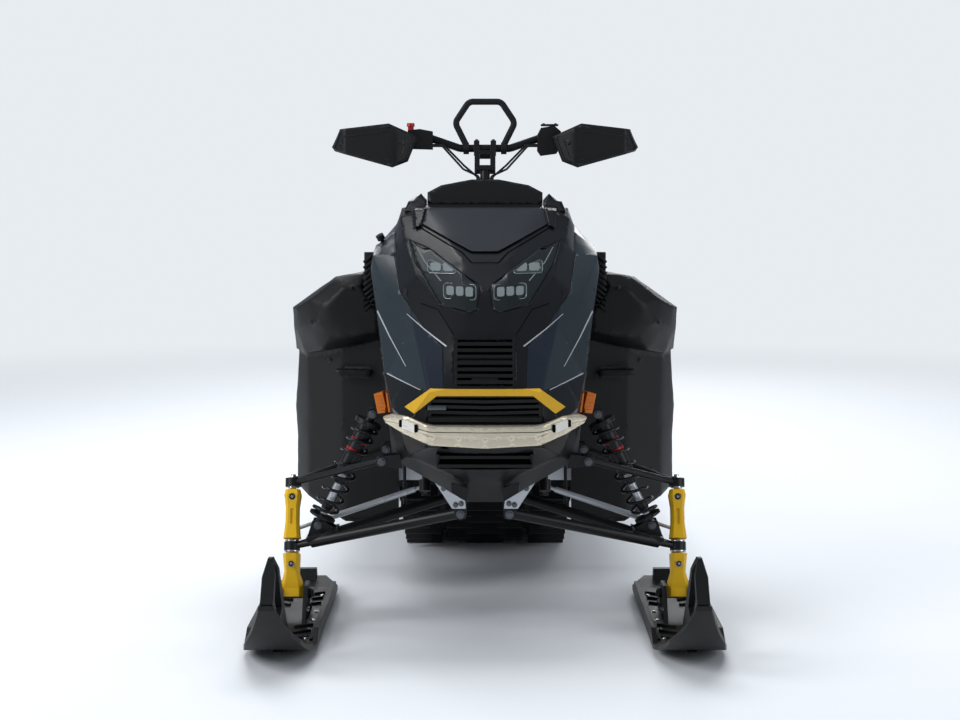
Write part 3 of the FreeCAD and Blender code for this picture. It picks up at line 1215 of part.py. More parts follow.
# Tank and seat. Each row: y, then x and z of one half's lower edge, side and top edge.
TOP_SEAT_Z = TUNNEL_TOP_Z + FIT
CUSHION_LOW_Z = SEAT_BASE_Z + FIT
TANK = (
    (COWL_END_Y + 1, TANK_HALF + 10, TOP_SEAT_Z, TANK_HALF, 830, TANK_HALF - 70, 935),
    (860, TANK_HALF + 7, TOP_SEAT_Z, TANK_HALF - 15, 850, TANK_HALF - 85, 925),
    (SEAT_FRONT_Y, TANK_HALF - 5, TOP_SEAT_Z, TANK_HALF - 35, 800, TANK_HALF - 95, 880),
)
SIDE_SEAT_Z = SEAT_TOP_Z - 60
CUSHION = (
    (SEAT_FRONT_Y + 5, SEAT_HALF - 25, CUSHION_LOW_Z, SEAT_HALF - 17, SIDE_SEAT_Z, SEAT_HALF - 55, SEAT_TOP_Z + 7),
    (1060, SEAT_HALF - 7, CUSHION_LOW_Z, SEAT_HALF + 1, SIDE_SEAT_Z, SEAT_HALF - 40, SEAT_TOP_Z + 7),
    (1300, SEAT_HALF - 3, CUSHION_LOW_Z, SEAT_HALF + 5, SIDE_SEAT_Z, SEAT_HALF - 33, SEAT_TOP_Z),
    (1500, SEAT_HALF - 3, CUSHION_LOW_Z, SEAT_HALF + 5, SIDE_SEAT_Z, SEAT_HALF - 33, SEAT_TOP_Z + 10),
    (SEAT_REAR_Y + 6, SEAT_HALF - 25, CUSHION_LOW_Z, SEAT_HALF - 15, SIDE_SEAT_Z, SEAT_HALF - 50, SEAT_TOP_Z - 5),
)


def long_loft(rows):
    wires = []
    for row in rows:
        ring = [V(x, at(row[0]), z) for x, z in both_halves(row_points(row))]
        wires.append(Part.makePolygon(ring + [ring[0]]))
    return Part.makeLoft(wires, True, True)


node("fuel_tank", long_loft(TANK))
seat_yz = [(SEAT_FRONT_Y + 5, TOP_SEAT_Z), (SEAT_REAR_Y - SEAT_BACK_SLOPE, TOP_SEAT_Z), (SEAT_REAR_Y, SEAT_BASE_Z),
           (SEAT_FRONT_Y + 5, SEAT_BASE_Z)]
node("seat_base", prism_x(seat_yz, -SEAT_HALF + 26, SEAT_HALF - 26))
node("seat_cushion", long_loft(CUSHION))


def tail_light():
    # A lamp on the sloping back of the seat base.
    def back_y(z):
        return SEAT_REAR_Y - SEAT_BACK_SLOPE * (SEAT_BASE_Z - z) / (SEAT_BASE_Z - TOP_SEAT_Z) + FIT + 0.1
    low, high = SEAT_BASE_Z - 48, SEAT_BASE_Z - 4
    y0, y1 = back_y(low), back_y(high)
    return prism_x([(y0, low), (y0 + 14, low + 5), (y1 + 12, high), (y1, high)], -TAIL_LAMP_HALF, TAIL_LAMP_HALF)


node("tail_light", tail_light())


def rear_rack():
    z, foot_z = TUNNEL_TOP_Z + RACK_RISE, TUNNEL_TOP_Z + RACK_R + FIT
    side = bent_tube([V(-RACK_X, at(RACK_FRONT_Y), foot_z), V(-RACK_X, at(RACK_FRONT_Y + 60), z),
                      V(-RACK_X, at(RACK_REAR_Y - 70), z), V(-RACK_X, at(RACK_REAR_Y), foot_z)], RACK_R, 40)
    cross = [cross_rod(RACK_X, y, z, RACK_BAR_R) for y in RACK_BARS]
    feet = [box(-RACK_X - 16, -RACK_X + 16, at(y) - 18, at(y) + 18, TUNNEL_TOP_Z + FIT, TUNNEL_TOP_Z + RACK_FOOT)
            for y in (RACK_FRONT_Y + 6, RACK_REAR_Y - 8)]
    return fused([side, mirrored(side)] + cross + feet + [mirrored(f) for f in feet])


node("rear_rack", rear_rack())


def rear_bumper():
    # A grab loop behind the tunnel with the towing plate welded to its cross tube.
    z, x = REAR_BAR_Z, TUNNEL_HALF + REAR_BAR_R + FIT
    half = [(-x, 2120), (-x, 2380), (-170, 2450)]
    route = half + [(-px, py) for px, py in reversed(half)]
    loop = bent_tube([V(px, at(py), z) for px, py in route], REAR_BAR_R, REAR_BAR_BEND)
    plate = box(-40, 40, at(2440), at(HITCH_Y + 25), z - HITCH_PLATE / 2, z + HITCH_PLATE / 2)
    return fused([loop, plate]).cut(rod(V(0, at(HITCH_Y), z - 30), V(0, at(HITCH_Y), z + 30), HITCH_BORE_R))


node("rear_bumper", rear_bumper())
flap_y, flap_end, thick = TUNNEL_REAR_Y + FIT, FLAP_END_Y, FLAP_THICK
node("snow_flap", prism_x([(flap_y, TUNNEL_TOP_Z), (flap_y + 6, TUNNEL_TOP_Z), (flap_y + 16, 500), (2420, 400),
                           (flap_end, FLAP_LOW_Z), (flap_end - thick, FLAP_LOW_Z - 3), (2420 - thick, 394),
                           (flap_y + 7, 494), (flap_y, 560)], -TUNNEL_HALF, TUNNEL_HALF))

# Bar, grips and what is clamped on them
BAR_ROUTE = ((-410, 636, 1258), (-165, 602, 1284), (-72, BAR_Y, BAR_Z))
bar_left = [V(x, at(y), z) for x, y, z in BAR_ROUTE]
bar_right = [V(-x, at(y), z) for x, y, z in reversed(BAR_ROUTE)]
bar = bent_tube(bar_left + bar_right, BAR_R, BAR_BEND)
bar_room = bent_tube(bar_left + bar_right, BAR_R + FIT, BAR_BEND)
run_way = (bar_left[1] - bar_left[0]).normalize()
bar_end = bar_left[0]


def steering_post():
    block = box(-30, 30, -16, 16, -74, -14).cut(box(-15, 15, -30, 30, -60, -26))
    clamps = [box(x, x + 16, -17, 17, -16, 17) for x in (-32, 16)]
    post = rod(V(0, 0, -POST_LENGTH), V(0, 0, -70), POST_R)
    return lean(fused([block, post] + clamps).cut(rod(V(-100, 0, 0), V(100, 0, 0), BAR_R + FIT)))


def mountain_strap():
    z = BAR_Z + BAR_R + 2
    half = [(-56, z), (-86, 1325), (-46, 1385)]
    route = [V(x, at(BAR_Y), h) for x, h in half + [(-x, h) for x, h in reversed(half)]]
    ring = bent_tube(route, STRAP_R, STRAP_BEND)
    clamp = rod(V(-62, at(BAR_Y), BAR_Z), V(-46, at(BAR_Y), BAR_Z), BAR_R + 6)
    return fused([ring, clamp, mirrored(clamp)]).cut(cross_rod(90, BAR_Y, BAR_Z, BAR_R + FIT))


def hand_guard():
    outline = [(-439, 1255), (-413, 1305), (-272, 1321), (-191, 1285), (-219, 1214), (-262, 1197), (-429, 1243)]
    band = [(-180, 548), (-250, 503), (-400, 513), (-445, 590), (-437, 650), (-430, 650), (-437, 592), (-396, 520),
            (-252, 510), (-180, 556)]
    skin = prism_y(outline, 480, 670).common(prism_z(band, 1150, 1350))
    stub = rod(bar_end - run_way * FIT, bar_end - run_way * 26, BAR_R - 2)
    return fused([skin, stub])


node("steering_post", steering_post())
node("handlebar", bar)
alike("grips", pipe(bar_end + run_way * 4, bar_end + run_way * (4 + GRIP_LENGTH), GRIP_R, BAR_R + FIT))
alike("controls", pipe(bar_end + run_way * CONTROL_START, bar_end + run_way * (CONTROL_START + CONTROL_LENGTH),
                       GRIP_R + 5, BAR_R + FIT))
node("mountain_strap", mountain_strap())
alike("hand_guards", hand_guard())

# The throttle block on -X and the brake cylinder on +X, clamped on the bar.
THROTTLE_BLOCK = [(-221, 1250), (-150, 1248), (-150, 1300), (-187, 1307), (-221, 1303)]
BRAKE_BLOCK = [(150, 1244), (160, 1230), (204, 1236), (220, 1262), (217, 1300), (198, 1316), (160, 1310),
               (150, 1290)]
node("controls", prism_y(THROTTLE_BLOCK, 570, 616).cut(bar_room), prism_y(BRAKE_BLOCK, 562, 616).cut(bar_room))
# Each lever as x, y, z of its bends, from its block outwards.
BRAKE_LEVER = ((206, 561.6 - LEVER_R, 1262), (290, 545, 1258), (380, 562, 1246))
THROTTLE_LEVER = ((-206, 569.6 - LEVER_R, 1262), (-238, 558, 1256), (-272, 566, 1236))
for row in (BRAKE_LEVER, THROTTLE_LEVER):
    node("bar_levers", bent_tube([V(x, at(y), z) for x, y, z in row], LEVER_R, 14))

# Held cables, from the two blocks to a rubber collar round the post. Each row: x, y, z in the bar's own frame.
CABLE_START = THROTTLE_BLOCK[1][0] + FIT + 0.1
CABLE_END = CABLE_COLLAR / 2 - CABLE_COLLAR_DOWN + FIT
CABLES = (
    (CABLE_START, -19, 2, -118, -19, 2, -60, -12, -60, -22, 0, -90, -22, 0, CABLE_END),
    (CABLE_START, -27, -6, -122, -27, -6, -62, -22, -76, -17, -14, -95, -17, -14, CABLE_END),
)
for row in CABLES:
    alike("bar_cables", lean(bent_tube([V(*row[k:k + 3]) for k in range(0, len(row), 3)], CABLE_R, 10)))
node("bar_cable_boot", lean(pipe(V(0, 0, -CABLE_COLLAR_DOWN - CABLE_COLLAR / 2),
                                 V(0, 0, -CABLE_COLLAR_DOWN + CABLE_COLLAR / 2), CABLE_COLLAR_R, POST_R + PIN_FIT)))

os.makedirs("parts", exist_ok=True)
for name in sorted(nodes):
    solids = [solid for shape in nodes[name] for solid in shape.Solids]
    whole = solids[0] if len(solids) == 1 else Part.makeCompound(solids)
    whole.exportStep("parts/" + name + ".step")
    b = whole.BoundBox
    print("%-18s %2d solids valid %s %8.0f cm3  x %5.0f %5.0f  y %6.0f %6.0f  z %5.0f %5.0f" % (
        name, len(solids), whole.isValid(), sum(s.Volume for s in solids) / 1000,
        b.XMin, b.XMax, b.YMin, b.YMax, b.ZMin, b.ZMax))
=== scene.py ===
# %% [markdown]
# This lesson dresses a snowmobile whose frame is already built to size. The frame below holds
# every rigid piece in metres, at rest, so a new piece only has to be made where the frame says.
# The box of the bare frame is kept now, and the last cell measures the dressed machine's box again.

import math

import bmesh
import bpy
from mathutils import Matrix, Vector


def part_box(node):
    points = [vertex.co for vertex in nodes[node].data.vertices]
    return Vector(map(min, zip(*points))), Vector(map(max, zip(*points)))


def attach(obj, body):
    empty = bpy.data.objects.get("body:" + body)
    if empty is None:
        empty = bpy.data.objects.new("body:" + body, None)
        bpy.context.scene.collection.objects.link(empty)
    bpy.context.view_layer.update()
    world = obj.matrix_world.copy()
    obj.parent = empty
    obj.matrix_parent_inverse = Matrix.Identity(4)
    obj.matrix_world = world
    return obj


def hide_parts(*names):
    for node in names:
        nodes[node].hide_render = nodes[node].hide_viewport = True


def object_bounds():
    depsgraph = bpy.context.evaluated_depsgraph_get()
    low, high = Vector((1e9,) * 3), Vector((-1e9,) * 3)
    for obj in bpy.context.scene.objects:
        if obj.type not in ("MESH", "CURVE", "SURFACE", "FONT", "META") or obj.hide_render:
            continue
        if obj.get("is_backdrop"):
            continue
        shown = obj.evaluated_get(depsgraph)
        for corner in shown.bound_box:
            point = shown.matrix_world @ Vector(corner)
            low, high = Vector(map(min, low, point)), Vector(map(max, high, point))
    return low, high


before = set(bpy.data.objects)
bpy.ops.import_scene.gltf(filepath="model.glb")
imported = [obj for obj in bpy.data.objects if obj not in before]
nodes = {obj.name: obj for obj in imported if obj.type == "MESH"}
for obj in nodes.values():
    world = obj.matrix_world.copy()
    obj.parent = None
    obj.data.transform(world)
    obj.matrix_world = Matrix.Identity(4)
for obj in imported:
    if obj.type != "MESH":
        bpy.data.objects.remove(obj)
cad_low, cad_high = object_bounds()
scene = bpy.context.scene
print("nodes", len(nodes), "size", [round(v, 3) for v in cad_high - cad_low])

# %% [markdown]
# The photograph was taken from straight ahead, a little above the hood, with a long lens. A camera
# is a lens length, a place and a tilt: a long lens five metres away flattens the nose as it does there.
# The shift only slides the picture sideways, so that the machine's middle falls on the same pixel.

# %% Place the camera
PIXELS_WIDE = 960
PIXELS_HIGH = 720
MIDDLE_PIXEL = 485
SENSOR_WIDTH = 36
LENS = 71.25
CAMERA_BACK = 5.925
CAMERA_HEIGHT = 1.19
CAMERA_TILT = 84.29
CAMERA_SHIFT = (PIXELS_WIDE / 2 - MIDDLE_PIXEL) / PIXELS_WIDE

camera_data = bpy.data.cameras.new("camera")
camera_data.lens = LENS
camera_data.sensor_width = SENSOR_WIDTH
camera_data.shift_x = CAMERA_SHIFT
camera = bpy.data.objects.new("camera", camera_data)
camera.location = (0, -CAMERA_BACK, CAMERA_HEIGHT)
camera.rotation_euler = (math.radians(CAMERA_TILT), 0, 0)
scene.collection.objects.link(camera)
scene.camera = camera
scene.view_settings.view_transform = "Standard"
print("camera", tuple(round(v, 3) for v in camera.location))

# %% [markdown]
# Black plastic shows almost only what it reflects, so the lamps are wide soft panels: one above, one
# ahead on each side, and one behind that draws a bright line round the shoulders. An area lamp's size
# sets how soft a highlight is, and its power how bright, so both sit in one table. The top lamp lights
# the floor but is kept out of reflections, or the hood would turn grey; a narrow strip beside it draws
# the streak on the visor instead.

# %% Light the studio
LAMPS = [
    # name, place, aim, width, depth, watts, seen in shiny panels
    ("key", (-4.6, -3.2, 3.6), (0, 0.2, 0.6), 3.0, 3.0, 200, True),
    ("fill", (4.8, -3.6, 2.4), (0, 0.2, 0.6), 3.0, 2.6, 70, True),
    ("top", (0, 0.8, 4.6), (0, 0.4, 0.5), 5.0, 4.0, 190, False),
    ("streak", (-1.3, 1.9, 4.4), (0, -0.6, 0.9), 0.5, 3.0, 26, True),
    ("back", (0.6, 5.6, 2.8), (0, 0.8, 0.6), 4.4, 1.8, 110, True),
]


def area_lamp(name, place, aim, width, depth, watts, shiny):
    data = bpy.data.lights.new(name, "AREA")
    data.shape = "RECTANGLE"
    data.size = width
    data.size_y = depth
    data.energy = watts
    lamp = bpy.data.objects.new(name, data)
    lamp.location = place
    lamp.rotation_euler = (Vector(aim) - Vector(place)).to_track_quat("-Z", "Y").to_euler()
    lamp.visible_glossy = shiny
    scene.collection.objects.link(lamp)


for row in LAMPS:
    area_lamp(*row)
print("lamps", len(LAMPS))

# %% [markdown]
# A world or a material is a small network of nodes, and laying it out takes many lines that are alike.
# Two helpers shorten them. One adds a node with its settings. The other lays links, and each link is a
# row of four: from which node and output, to which node and input.

# %% Helpers for node networks
def node_of(tree, kind, settings=None, **values):
    made = tree.nodes.new(kind)
    for key, value in (settings or {}).items():
        setattr(made, key, value)
    for key, value in values.items():
        made.inputs[key.replace("_", " ")].default_value = value
    return made


def wire(tree, *rows):
    for source, out, target, into in rows:
        tree.links.new(source.outputs[out], target.inputs[into])


print("node helpers ready")

# %% [markdown]
# The world has three colours. The camera looks at the pale backdrop, a shiny panel mirrors a darker
# one, and the light that falls on the machine is dimmer still. Light Path tells the kinds of ray apart.

# %% Set the backdrop
PALE = (0.80, 0.84, 0.88, 1)
AMBIENT = (0.24, 0.26, 0.29, 1)
REFLECTED = (0.20, 0.23, 0.27, 1)

world = bpy.data.worlds.new("studio")
scene.world = world
world.use_nodes = True
tree = world.node_tree
tree.nodes.clear()
path = node_of(tree, "ShaderNodeLightPath")
unseen = node_of(tree, "ShaderNodeMix", {"data_type": "RGBA"}, A=AMBIENT, B=REFLECTED)
pick = node_of(tree, "ShaderNodeMix", {"data_type": "RGBA"}, B=PALE)
backdrop = node_of(tree, "ShaderNodeBackground")
world_out = node_of(tree, "ShaderNodeOutputWorld")
wire(tree,
     (path, "Is Glossy Ray", unseen, "Factor"),
     (path, "Is Camera Ray", pick, "Factor"),
     (unseen, "Result", pick, "A"),
     (pick, "Result", backdrop, "Color"),
     (backdrop, 0, world_out, 0))
print("world nodes", len(tree.nodes))

# %% [markdown]
# The floor is one wide square just under the skis. Near the machine it takes the shadows. Farther out
# it glows in the backdrop's colour, but only to the camera, so no horizon shows behind the machine.

# %% Lay the floor
FLOOR_HALF = 30.0
FLOOR_DROP = 0.0005
FLOOR_COLOUR = (0.80, 0.83, 0.87, 1)
FADE_START = 2.6
FADE_END = 7.5

floor_mesh = bpy.data.meshes.new("floor")
bm = bmesh.new()
bmesh.ops.create_grid(bm, x_segments=1, y_segments=1, size=FLOOR_HALF)
bmesh.ops.translate(bm, verts=bm.verts, vec=(0, 0, cad_low.z - FLOOR_DROP))
bm.to_mesh(floor_mesh)
bm.free()
floor = bpy.data.objects.new("floor", floor_mesh)
scene.collection.objects.link(floor)
floor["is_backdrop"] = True
floor_material = bpy.data.materials.new("floor_pale")
floor_material.use_nodes = True
tree = floor_material.node_tree
shader = tree.nodes["Principled BSDF"]
shader.inputs["Base Color"].default_value = FLOOR_COLOUR
shader.inputs["Roughness"].default_value = 0.9
shader.inputs["Specular IOR Level"].default_value = 0.1
where = node_of(tree, "ShaderNodeTexCoord")
reach = node_of(tree, "ShaderNodeVectorMath", {"operation": "LENGTH"})
fade = node_of(tree, "ShaderNodeMapRange", {"interpolation_type": "SMOOTHSTEP"},
               From_Min=FADE_START, From_Max=FADE_END)
path = node_of(tree, "ShaderNodeLightPath")
far_and_seen = node_of(tree, "ShaderNodeMath", {"operation": "MULTIPLY"})
glow = node_of(tree, "ShaderNodeEmission", Color=PALE)
merge = node_of(tree, "ShaderNodeMixShader")
wire(tree,
     (where, "Object", reach, 0),
     (reach, "Value", fade, "Value"),
     (fade, "Result", far_and_seen, 0),
     (path, "Is Camera Ray", far_and_seen, 1),
     (far_and_seen, "Value", merge, 0),
     (shader, "BSDF", merge, 1),
     (glow, "Emission", merge, 2),
     (merge, "Shader", tree.nodes["Material Output"], "Surface"))
floor_mesh.materials.append(floor_material)
print("floor at", round(cad_low.z, 4))

# %% [markdown]
# Every finish on the machine shares two small effects. Each is a node group, built once: a fine
# grain for moulded and painted faces, and a mask that finds edges by comparing a rounded normal
# with the true one. A group hands out masks and normals only, and the shader stays in the material.

# %% Shared effects: grain and edges
def group_with(name, inputs, outputs):
    group = bpy.data.node_groups.new(name, "ShaderNodeTree")
    for label, value in inputs:
        socket = group.interface.new_socket(label, in_out="INPUT", socket_type="NodeSocketFloat")
        socket.default_value = value
    for label, kind in outputs:
        group.interface.new_socket(label, in_out="OUTPUT", socket_type=kind)
    return group, group.nodes.new("NodeGroupInput"), group.nodes.new("NodeGroupOutput")


grain_group, start, end = group_with("grain", [("Scale", 700.0), ("Patch", 6.0)],
                                     [("Height", "NodeSocketFloat"), ("Mottle", "NodeSocketFloat")])
place = node_of(grain_group, "ShaderNodeTexCoord")
fine = node_of(grain_group, "ShaderNodeTexNoise", Detail=2.0, Roughness=0.6)
broad = node_of(grain_group, "ShaderNodeTexNoise", Detail=4.0, Roughness=0.55)
wire(grain_group,
     (place, "Object", fine, "Vector"),
     (place, "Object", broad, "Vector"),
     (start, "Scale", fine, "Scale"),
     (start, "Patch", broad, "Scale"),
     (fine, "Fac", end, "Height"),
     (broad, "Fac", end, "Mottle"))

edge_group, start, end = group_with("edges", [("Width", 0.003), ("Breakup", 90.0)],
                                    [("Edge", "NodeSocketFloat"), ("Normal", "NodeSocketVector")])
round_normal = node_of(edge_group, "ShaderNodeBevel", {"samples": 4})
true_normal = node_of(edge_group, "ShaderNodeNewGeometry")
alike = node_of(edge_group, "ShaderNodeVectorMath", {"operation": "DOT_PRODUCT"})
place = node_of(edge_group, "ShaderNodeTexCoord")
breakup = node_of(edge_group, "ShaderNodeTexNoise", Detail=3.0)
spread = node_of(edge_group, "ShaderNodeMapRange", From_Min=0.995, From_Max=0.90)
thinned = node_of(edge_group, "ShaderNodeMath", {"operation": "MULTIPLY"})
patchy = node_of(edge_group, "ShaderNodeMapRange", From_Min=0.42, From_Max=0.62)
wire(edge_group,
     (start, "Width", round_normal, "Radius"),
     (start, "Breakup", breakup, "Scale"),
     (round_normal, "Normal", alike, 0),
     (true_normal, "True Normal", alike, 1),
     (alike, "Value", spread, "Value"),
     (place, "Object", breakup, "Vector"),
     (breakup, "Fac", patchy, "Value"),
     (spread, "Result", thinned, 0),
     (patchy, "Result", thinned, 1),
     (thinned, "Value", end, "Edge"),
     (round_normal, "Normal", end, "Normal"))
print("groups", [g.name for g in bpy.data.node_groups])

# %% [markdown]
# Most finishes differ only in numbers: a colour, how rough it is, how deep its grain stands and what
# its worn edges look like. One function turns such a row into a material, so the table of finishes
# below reads like a paint shop's list.

# %% One function for every plain finish
PATCH_SCALE = 6.0
GLOSS_SPREAD = 0.08


def srgb(text):
    # Six hexadecimal digits, as a colour picker shows them, turned into the shader's linear values.
    parts = [int(text[i:i + 2], 16) / 255 for i in (0, 2, 4)]
    return tuple(c / 12.92 if c <= 0.04045 else ((c + 0.055) / 1.055) ** 2.4 for c in parts)


def plain_finish(name, colour, rough, metal=0.0, depth=0.02, scale=700.0, vary=0.10,
                 edge_colour=None, edge_amount=0.5, round_edge=0.0015,
                 coat=0.0, coat_rough=0.08, specular=0.3):
    material = bpy.data.materials.new(name)
    material.use_nodes = True
    tree = material.node_tree
    shader = tree.nodes["Principled BSDF"]
    grain = node_of(tree, "ShaderNodeGroup", {"node_tree": grain_group}, Scale=scale, Patch=PATCH_SCALE)
    edges = node_of(tree, "ShaderNodeGroup", {"node_tree": edge_group}, Width=round_edge)
    light = tuple(min(1, c * (1 + vary)) for c in srgb(colour)) + (1,)
    dark = tuple(c * (1 - vary) for c in srgb(colour)) + (1,)
    last = node_of(tree, "ShaderNodeMix", {"data_type": "RGBA"}, A=dark, B=light)
    tree.links.new(grain.outputs["Mottle"], last.inputs["Factor"])
    if edge_colour:
        amount = node_of(tree, "ShaderNodeMath", {"operation": "MULTIPLY"})
        amount.inputs[1].default_value = edge_amount
        worn = node_of(tree, "ShaderNodeMix", {"data_type": "RGBA"}, B=(*srgb(edge_colour), 1))
        wire(tree,
             (edges, "Edge", amount, 0),
             (amount, "Value", worn, "Factor"),
             (last, "Result", worn, "A"))
        last = worn
    gloss = node_of(tree, "ShaderNodeMapRange",
                    To_Min=max(0.04, rough - GLOSS_SPREAD), To_Max=min(1, rough + GLOSS_SPREAD))
    bump = node_of(tree, "ShaderNodeBump", Strength=0.6, Distance=depth * 0.01)
    wire(tree,
         (last, "Result", shader, "Base Color"),
         (grain, "Mottle", gloss, "Value"),
         (gloss, "Result", shader, "Roughness"),
         (grain, "Height", bump, "Height"),
         (edges, "Normal", bump, "Normal"),
         (bump, "Normal", shader, "Normal"))
    shader.inputs["Metallic"].default_value = metal
    shader.inputs["Coat Weight"].default_value = coat
    shader.inputs["Coat Roughness"].default_value = coat_rough
    shader.inputs["Specular IOR Level"].default_value = specular
    return material


print("one function mixes every finish")


# %% [markdown]
# Each row names a finish and says how it differs from the plain one. Moulded black plastic is grainy and
# half dull, the hood is smoother, cast parts are rough, and chrome-like parts are metal with hardly any
# grain. Two kinds of wear, on plastic and on metal, are shared by the pieces that are knocked in use.

# %% Mix the finishes
WORN_METAL = dict(edge_colour="9a9c9e", edge_amount=0.35)
WORN_PLASTIC = dict(edge_colour="4a4d50", edge_amount=0.25)
FINISHES = {
    "black_plastic": dict(colour="101112", rough=0.48, depth=0.05, **WORN_PLASTIC),
    "hood_black": dict(colour="111215", rough=0.30, depth=0.015, round_edge=0.0005),
    "satin_grey": dict(colour="212429", rough=0.36, depth=0.01),
    "slate_panel": dict(colour="222b31", rough=0.34, depth=0.012, coat=0.25, coat_rough=0.22),
    "yellow_trim": dict(colour="d2a428", rough=0.36, depth=0.01),
    "yellow_forging": dict(colour="e6b61e", rough=0.38, depth=0.05, edge_colour="9a9c9e", edge_amount=0.4),
    "champagne": dict(colour="d6ccb6", rough=0.26, metal=0.55, depth=0.0, vary=0.02, round_edge=0.0005),
    "amber": dict(colour="e07a12", rough=0.18, depth=0.0, coat=0.6),
    "red_lens": dict(colour="8a1012", rough=0.15, depth=0.0, coat=0.6),
    "smoked_lens": dict(colour="15171a", rough=0.08, depth=0.0, coat=0.8),
    "alu": dict(colour="b9bcc0", rough=0.34, metal=0.9, depth=0.01, edge_colour="d8dadc"),
    "cast": dict(colour="8b8e92", rough=0.5, metal=0.8, depth=0.06),
    "black_metal": dict(colour="161719", rough=0.36, depth=0.015, **WORN_METAL),
    "black_steel": dict(colour="141517", rough=0.38, metal=0.1, depth=0.02, **WORN_METAL),
    "track_rubber": dict(colour="17181a", rough=0.72, depth=0.12, scale=400, vary=0.2),
    "rubber": dict(colour="141416", rough=0.66, depth=0.08, vary=0.15),
    "seat_vinyl": dict(colour="1a1b1d", rough=0.55, depth=0.12, scale=500),
    "gloss_black": dict(colour="101113", rough=0.16, depth=0.004, coat=0.4),
    "silver_line": dict(colour="c3c8cc", rough=0.3, metal=0.5, depth=0.004),
    "bright": dict(colour="d0d3d6", rough=0.2, metal=0.95, depth=0.004),
    "lamp_cell": dict(colour="7d8789", rough=0.16, metal=0.3, depth=0.0, coat=0.8),
    "red_paint": dict(colour="b01a1c", rough=0.3, depth=0.004),
    "smoky": dict(colour="161b1d", rough=0.34, depth=0.0, coat=0.06, round_edge=0.0003),
    "lamp_frame": dict(colour="2b3133", rough=0.2, depth=0.0, coat=0.6),
    # Painted shade: a dull black laid where openings, holes, edges and creases fall into shadow.
    "void_black": dict(colour="060607", rough=0.9, depth=0.0, specular=0.05),
    "pale_plate": dict(colour="e4e2da", rough=0.4, depth=0.004),
    "steel_bolt": dict(colour="5c5f63", rough=0.36, metal=0.8, depth=0.01),
    "spring_steel": dict(colour="2a2c2f", rough=0.26, metal=0.6, depth=0.004),
    "thread": dict(colour="3a3c3f", rough=0.8, depth=0.05),
}
finish = {name: plain_finish(name, **values) for name, values in FINISHES.items()}
print("finishes", len(finish))

# %% [markdown]
# The slate side is grey on its outer band. The facet beside the hood, the inner face of a crease, carries
# painted
# shade: a darker navy. The line between them is straight in the front view, so the material compares the
# distance from the middle with a distance that grows with height, and blends the two colours over a few
# millimetres.

# %% Paint shade on the slate's inner facet
# Painted shade: the darker navy on the facet beside the hood, the inner face of the crease.
SHADE_NAVY = srgb("151c28")
EDGE_AT_FLOOR = -0.037
EDGE_PER_METRE = 0.276
BLEND = 0.0015
slate = finish["slate_panel"].node_tree
slate_shader = slate.nodes["Principled BSDF"]
old_colour = slate_shader.inputs["Base Color"].links[0].from_node
where = node_of(slate, "ShaderNodeTexCoord")
apart = node_of(slate, "ShaderNodeSeparateXYZ")
out = node_of(slate, "ShaderNodeMath", {"operation": "ABSOLUTE"})
edge = node_of(slate, "ShaderNodeMath", {"operation": "MULTIPLY_ADD"})
edge.inputs[1].default_value = EDGE_PER_METRE
edge.inputs[2].default_value = EDGE_AT_FLOOR
inside = node_of(slate, "ShaderNodeMath", {"operation": "SUBTRACT"})
soft = node_of(slate, "ShaderNodeMapRange", From_Min=-BLEND, From_Max=BLEND)
shade_mix = node_of(slate, "ShaderNodeMix", {"data_type": "RGBA"}, B=(*SHADE_NAVY, 1))
wire(slate,
     (where, "Object", apart, "Vector"),
     (apart, "X", out, 0),
     (apart, "Z", edge, 0),
     (edge, "Value", inside, 0),
     (out, "Value", inside, 1),
     (inside, "Value", soft, "Value"),
     (soft, "Result", shade_mix, "Factor"),
     (old_colour, "Result", shade_mix, "A"),
     (shade_mix, "Result", slate_shader, "Base Color"))
print("slate has two tones")

# %% [markdown]
# The frame's own pieces only need a finish each. The table is sorted by finish, which is how a workshop
# would send them out: everything in one row goes to the same bath. Left and right pieces share a name.

# %% Dress the frame's own pieces
WEARS = {
    "hood_black": "nose_mask nose_panel",
    "slate_panel": "side_panels",
    "black_plastic": "belly_pan centre_grille lower_grille gauge_console rear_cowl side_deflectors "
        "fuel_tank seat_base controls hand_guards ski_handle ski starter_knob",
    "black_steel": "front_subframe steering_bearing upper_arms lower_arms shock_springs skid_arms "
        "rear_rack rear_bumper handlebar swivel_arm sway_links",
    "yellow_trim": "nose_trim",
    "champagne": "front_bumper",
    "smoked_lens": "headlights",
    "amber": "side_reflectors",
    "satin_grey": "windshield",
    "cast": "engine_block",
    "black_metal": "shocks skid_rails skid_shocks drive_axle steering_post",
    "alu": "tunnel running_boards pivot_plates bar_levers",
    "track_rubber": "track",
    "rubber": "idler_wheels snow_flap grips mountain_strap bar_cables bar_cable_boot",
    "seat_vinyl": "seat_cushion",
    "red_lens": "tail_light",
    "yellow_forging": "spindle",
    "silver_line": "tie_rod",
}
look_of = {node: look for look, row in WEARS.items() for node in row.split()}
for node in nodes:
    plain = node[:-2] if node.endswith(("_l", "_r")) else node
    data = nodes[node].data
    data.materials.clear()
    data.materials.append(finish[look_of[plain]])
print("dressed", len(nodes))

# %% [markdown]
# New pieces are placed in the same millimetres as the drawing: across, behind the line of the two
# spindles, and up. A detail that the photograph shows is placed by its pixel instead: a ray goes from
# the camera through that pixel and stops on the skin that carries the detail.

# %% Helpers for new pieces
SPINDLES_Y = -1025
UP = Vector((0, 0, 1))
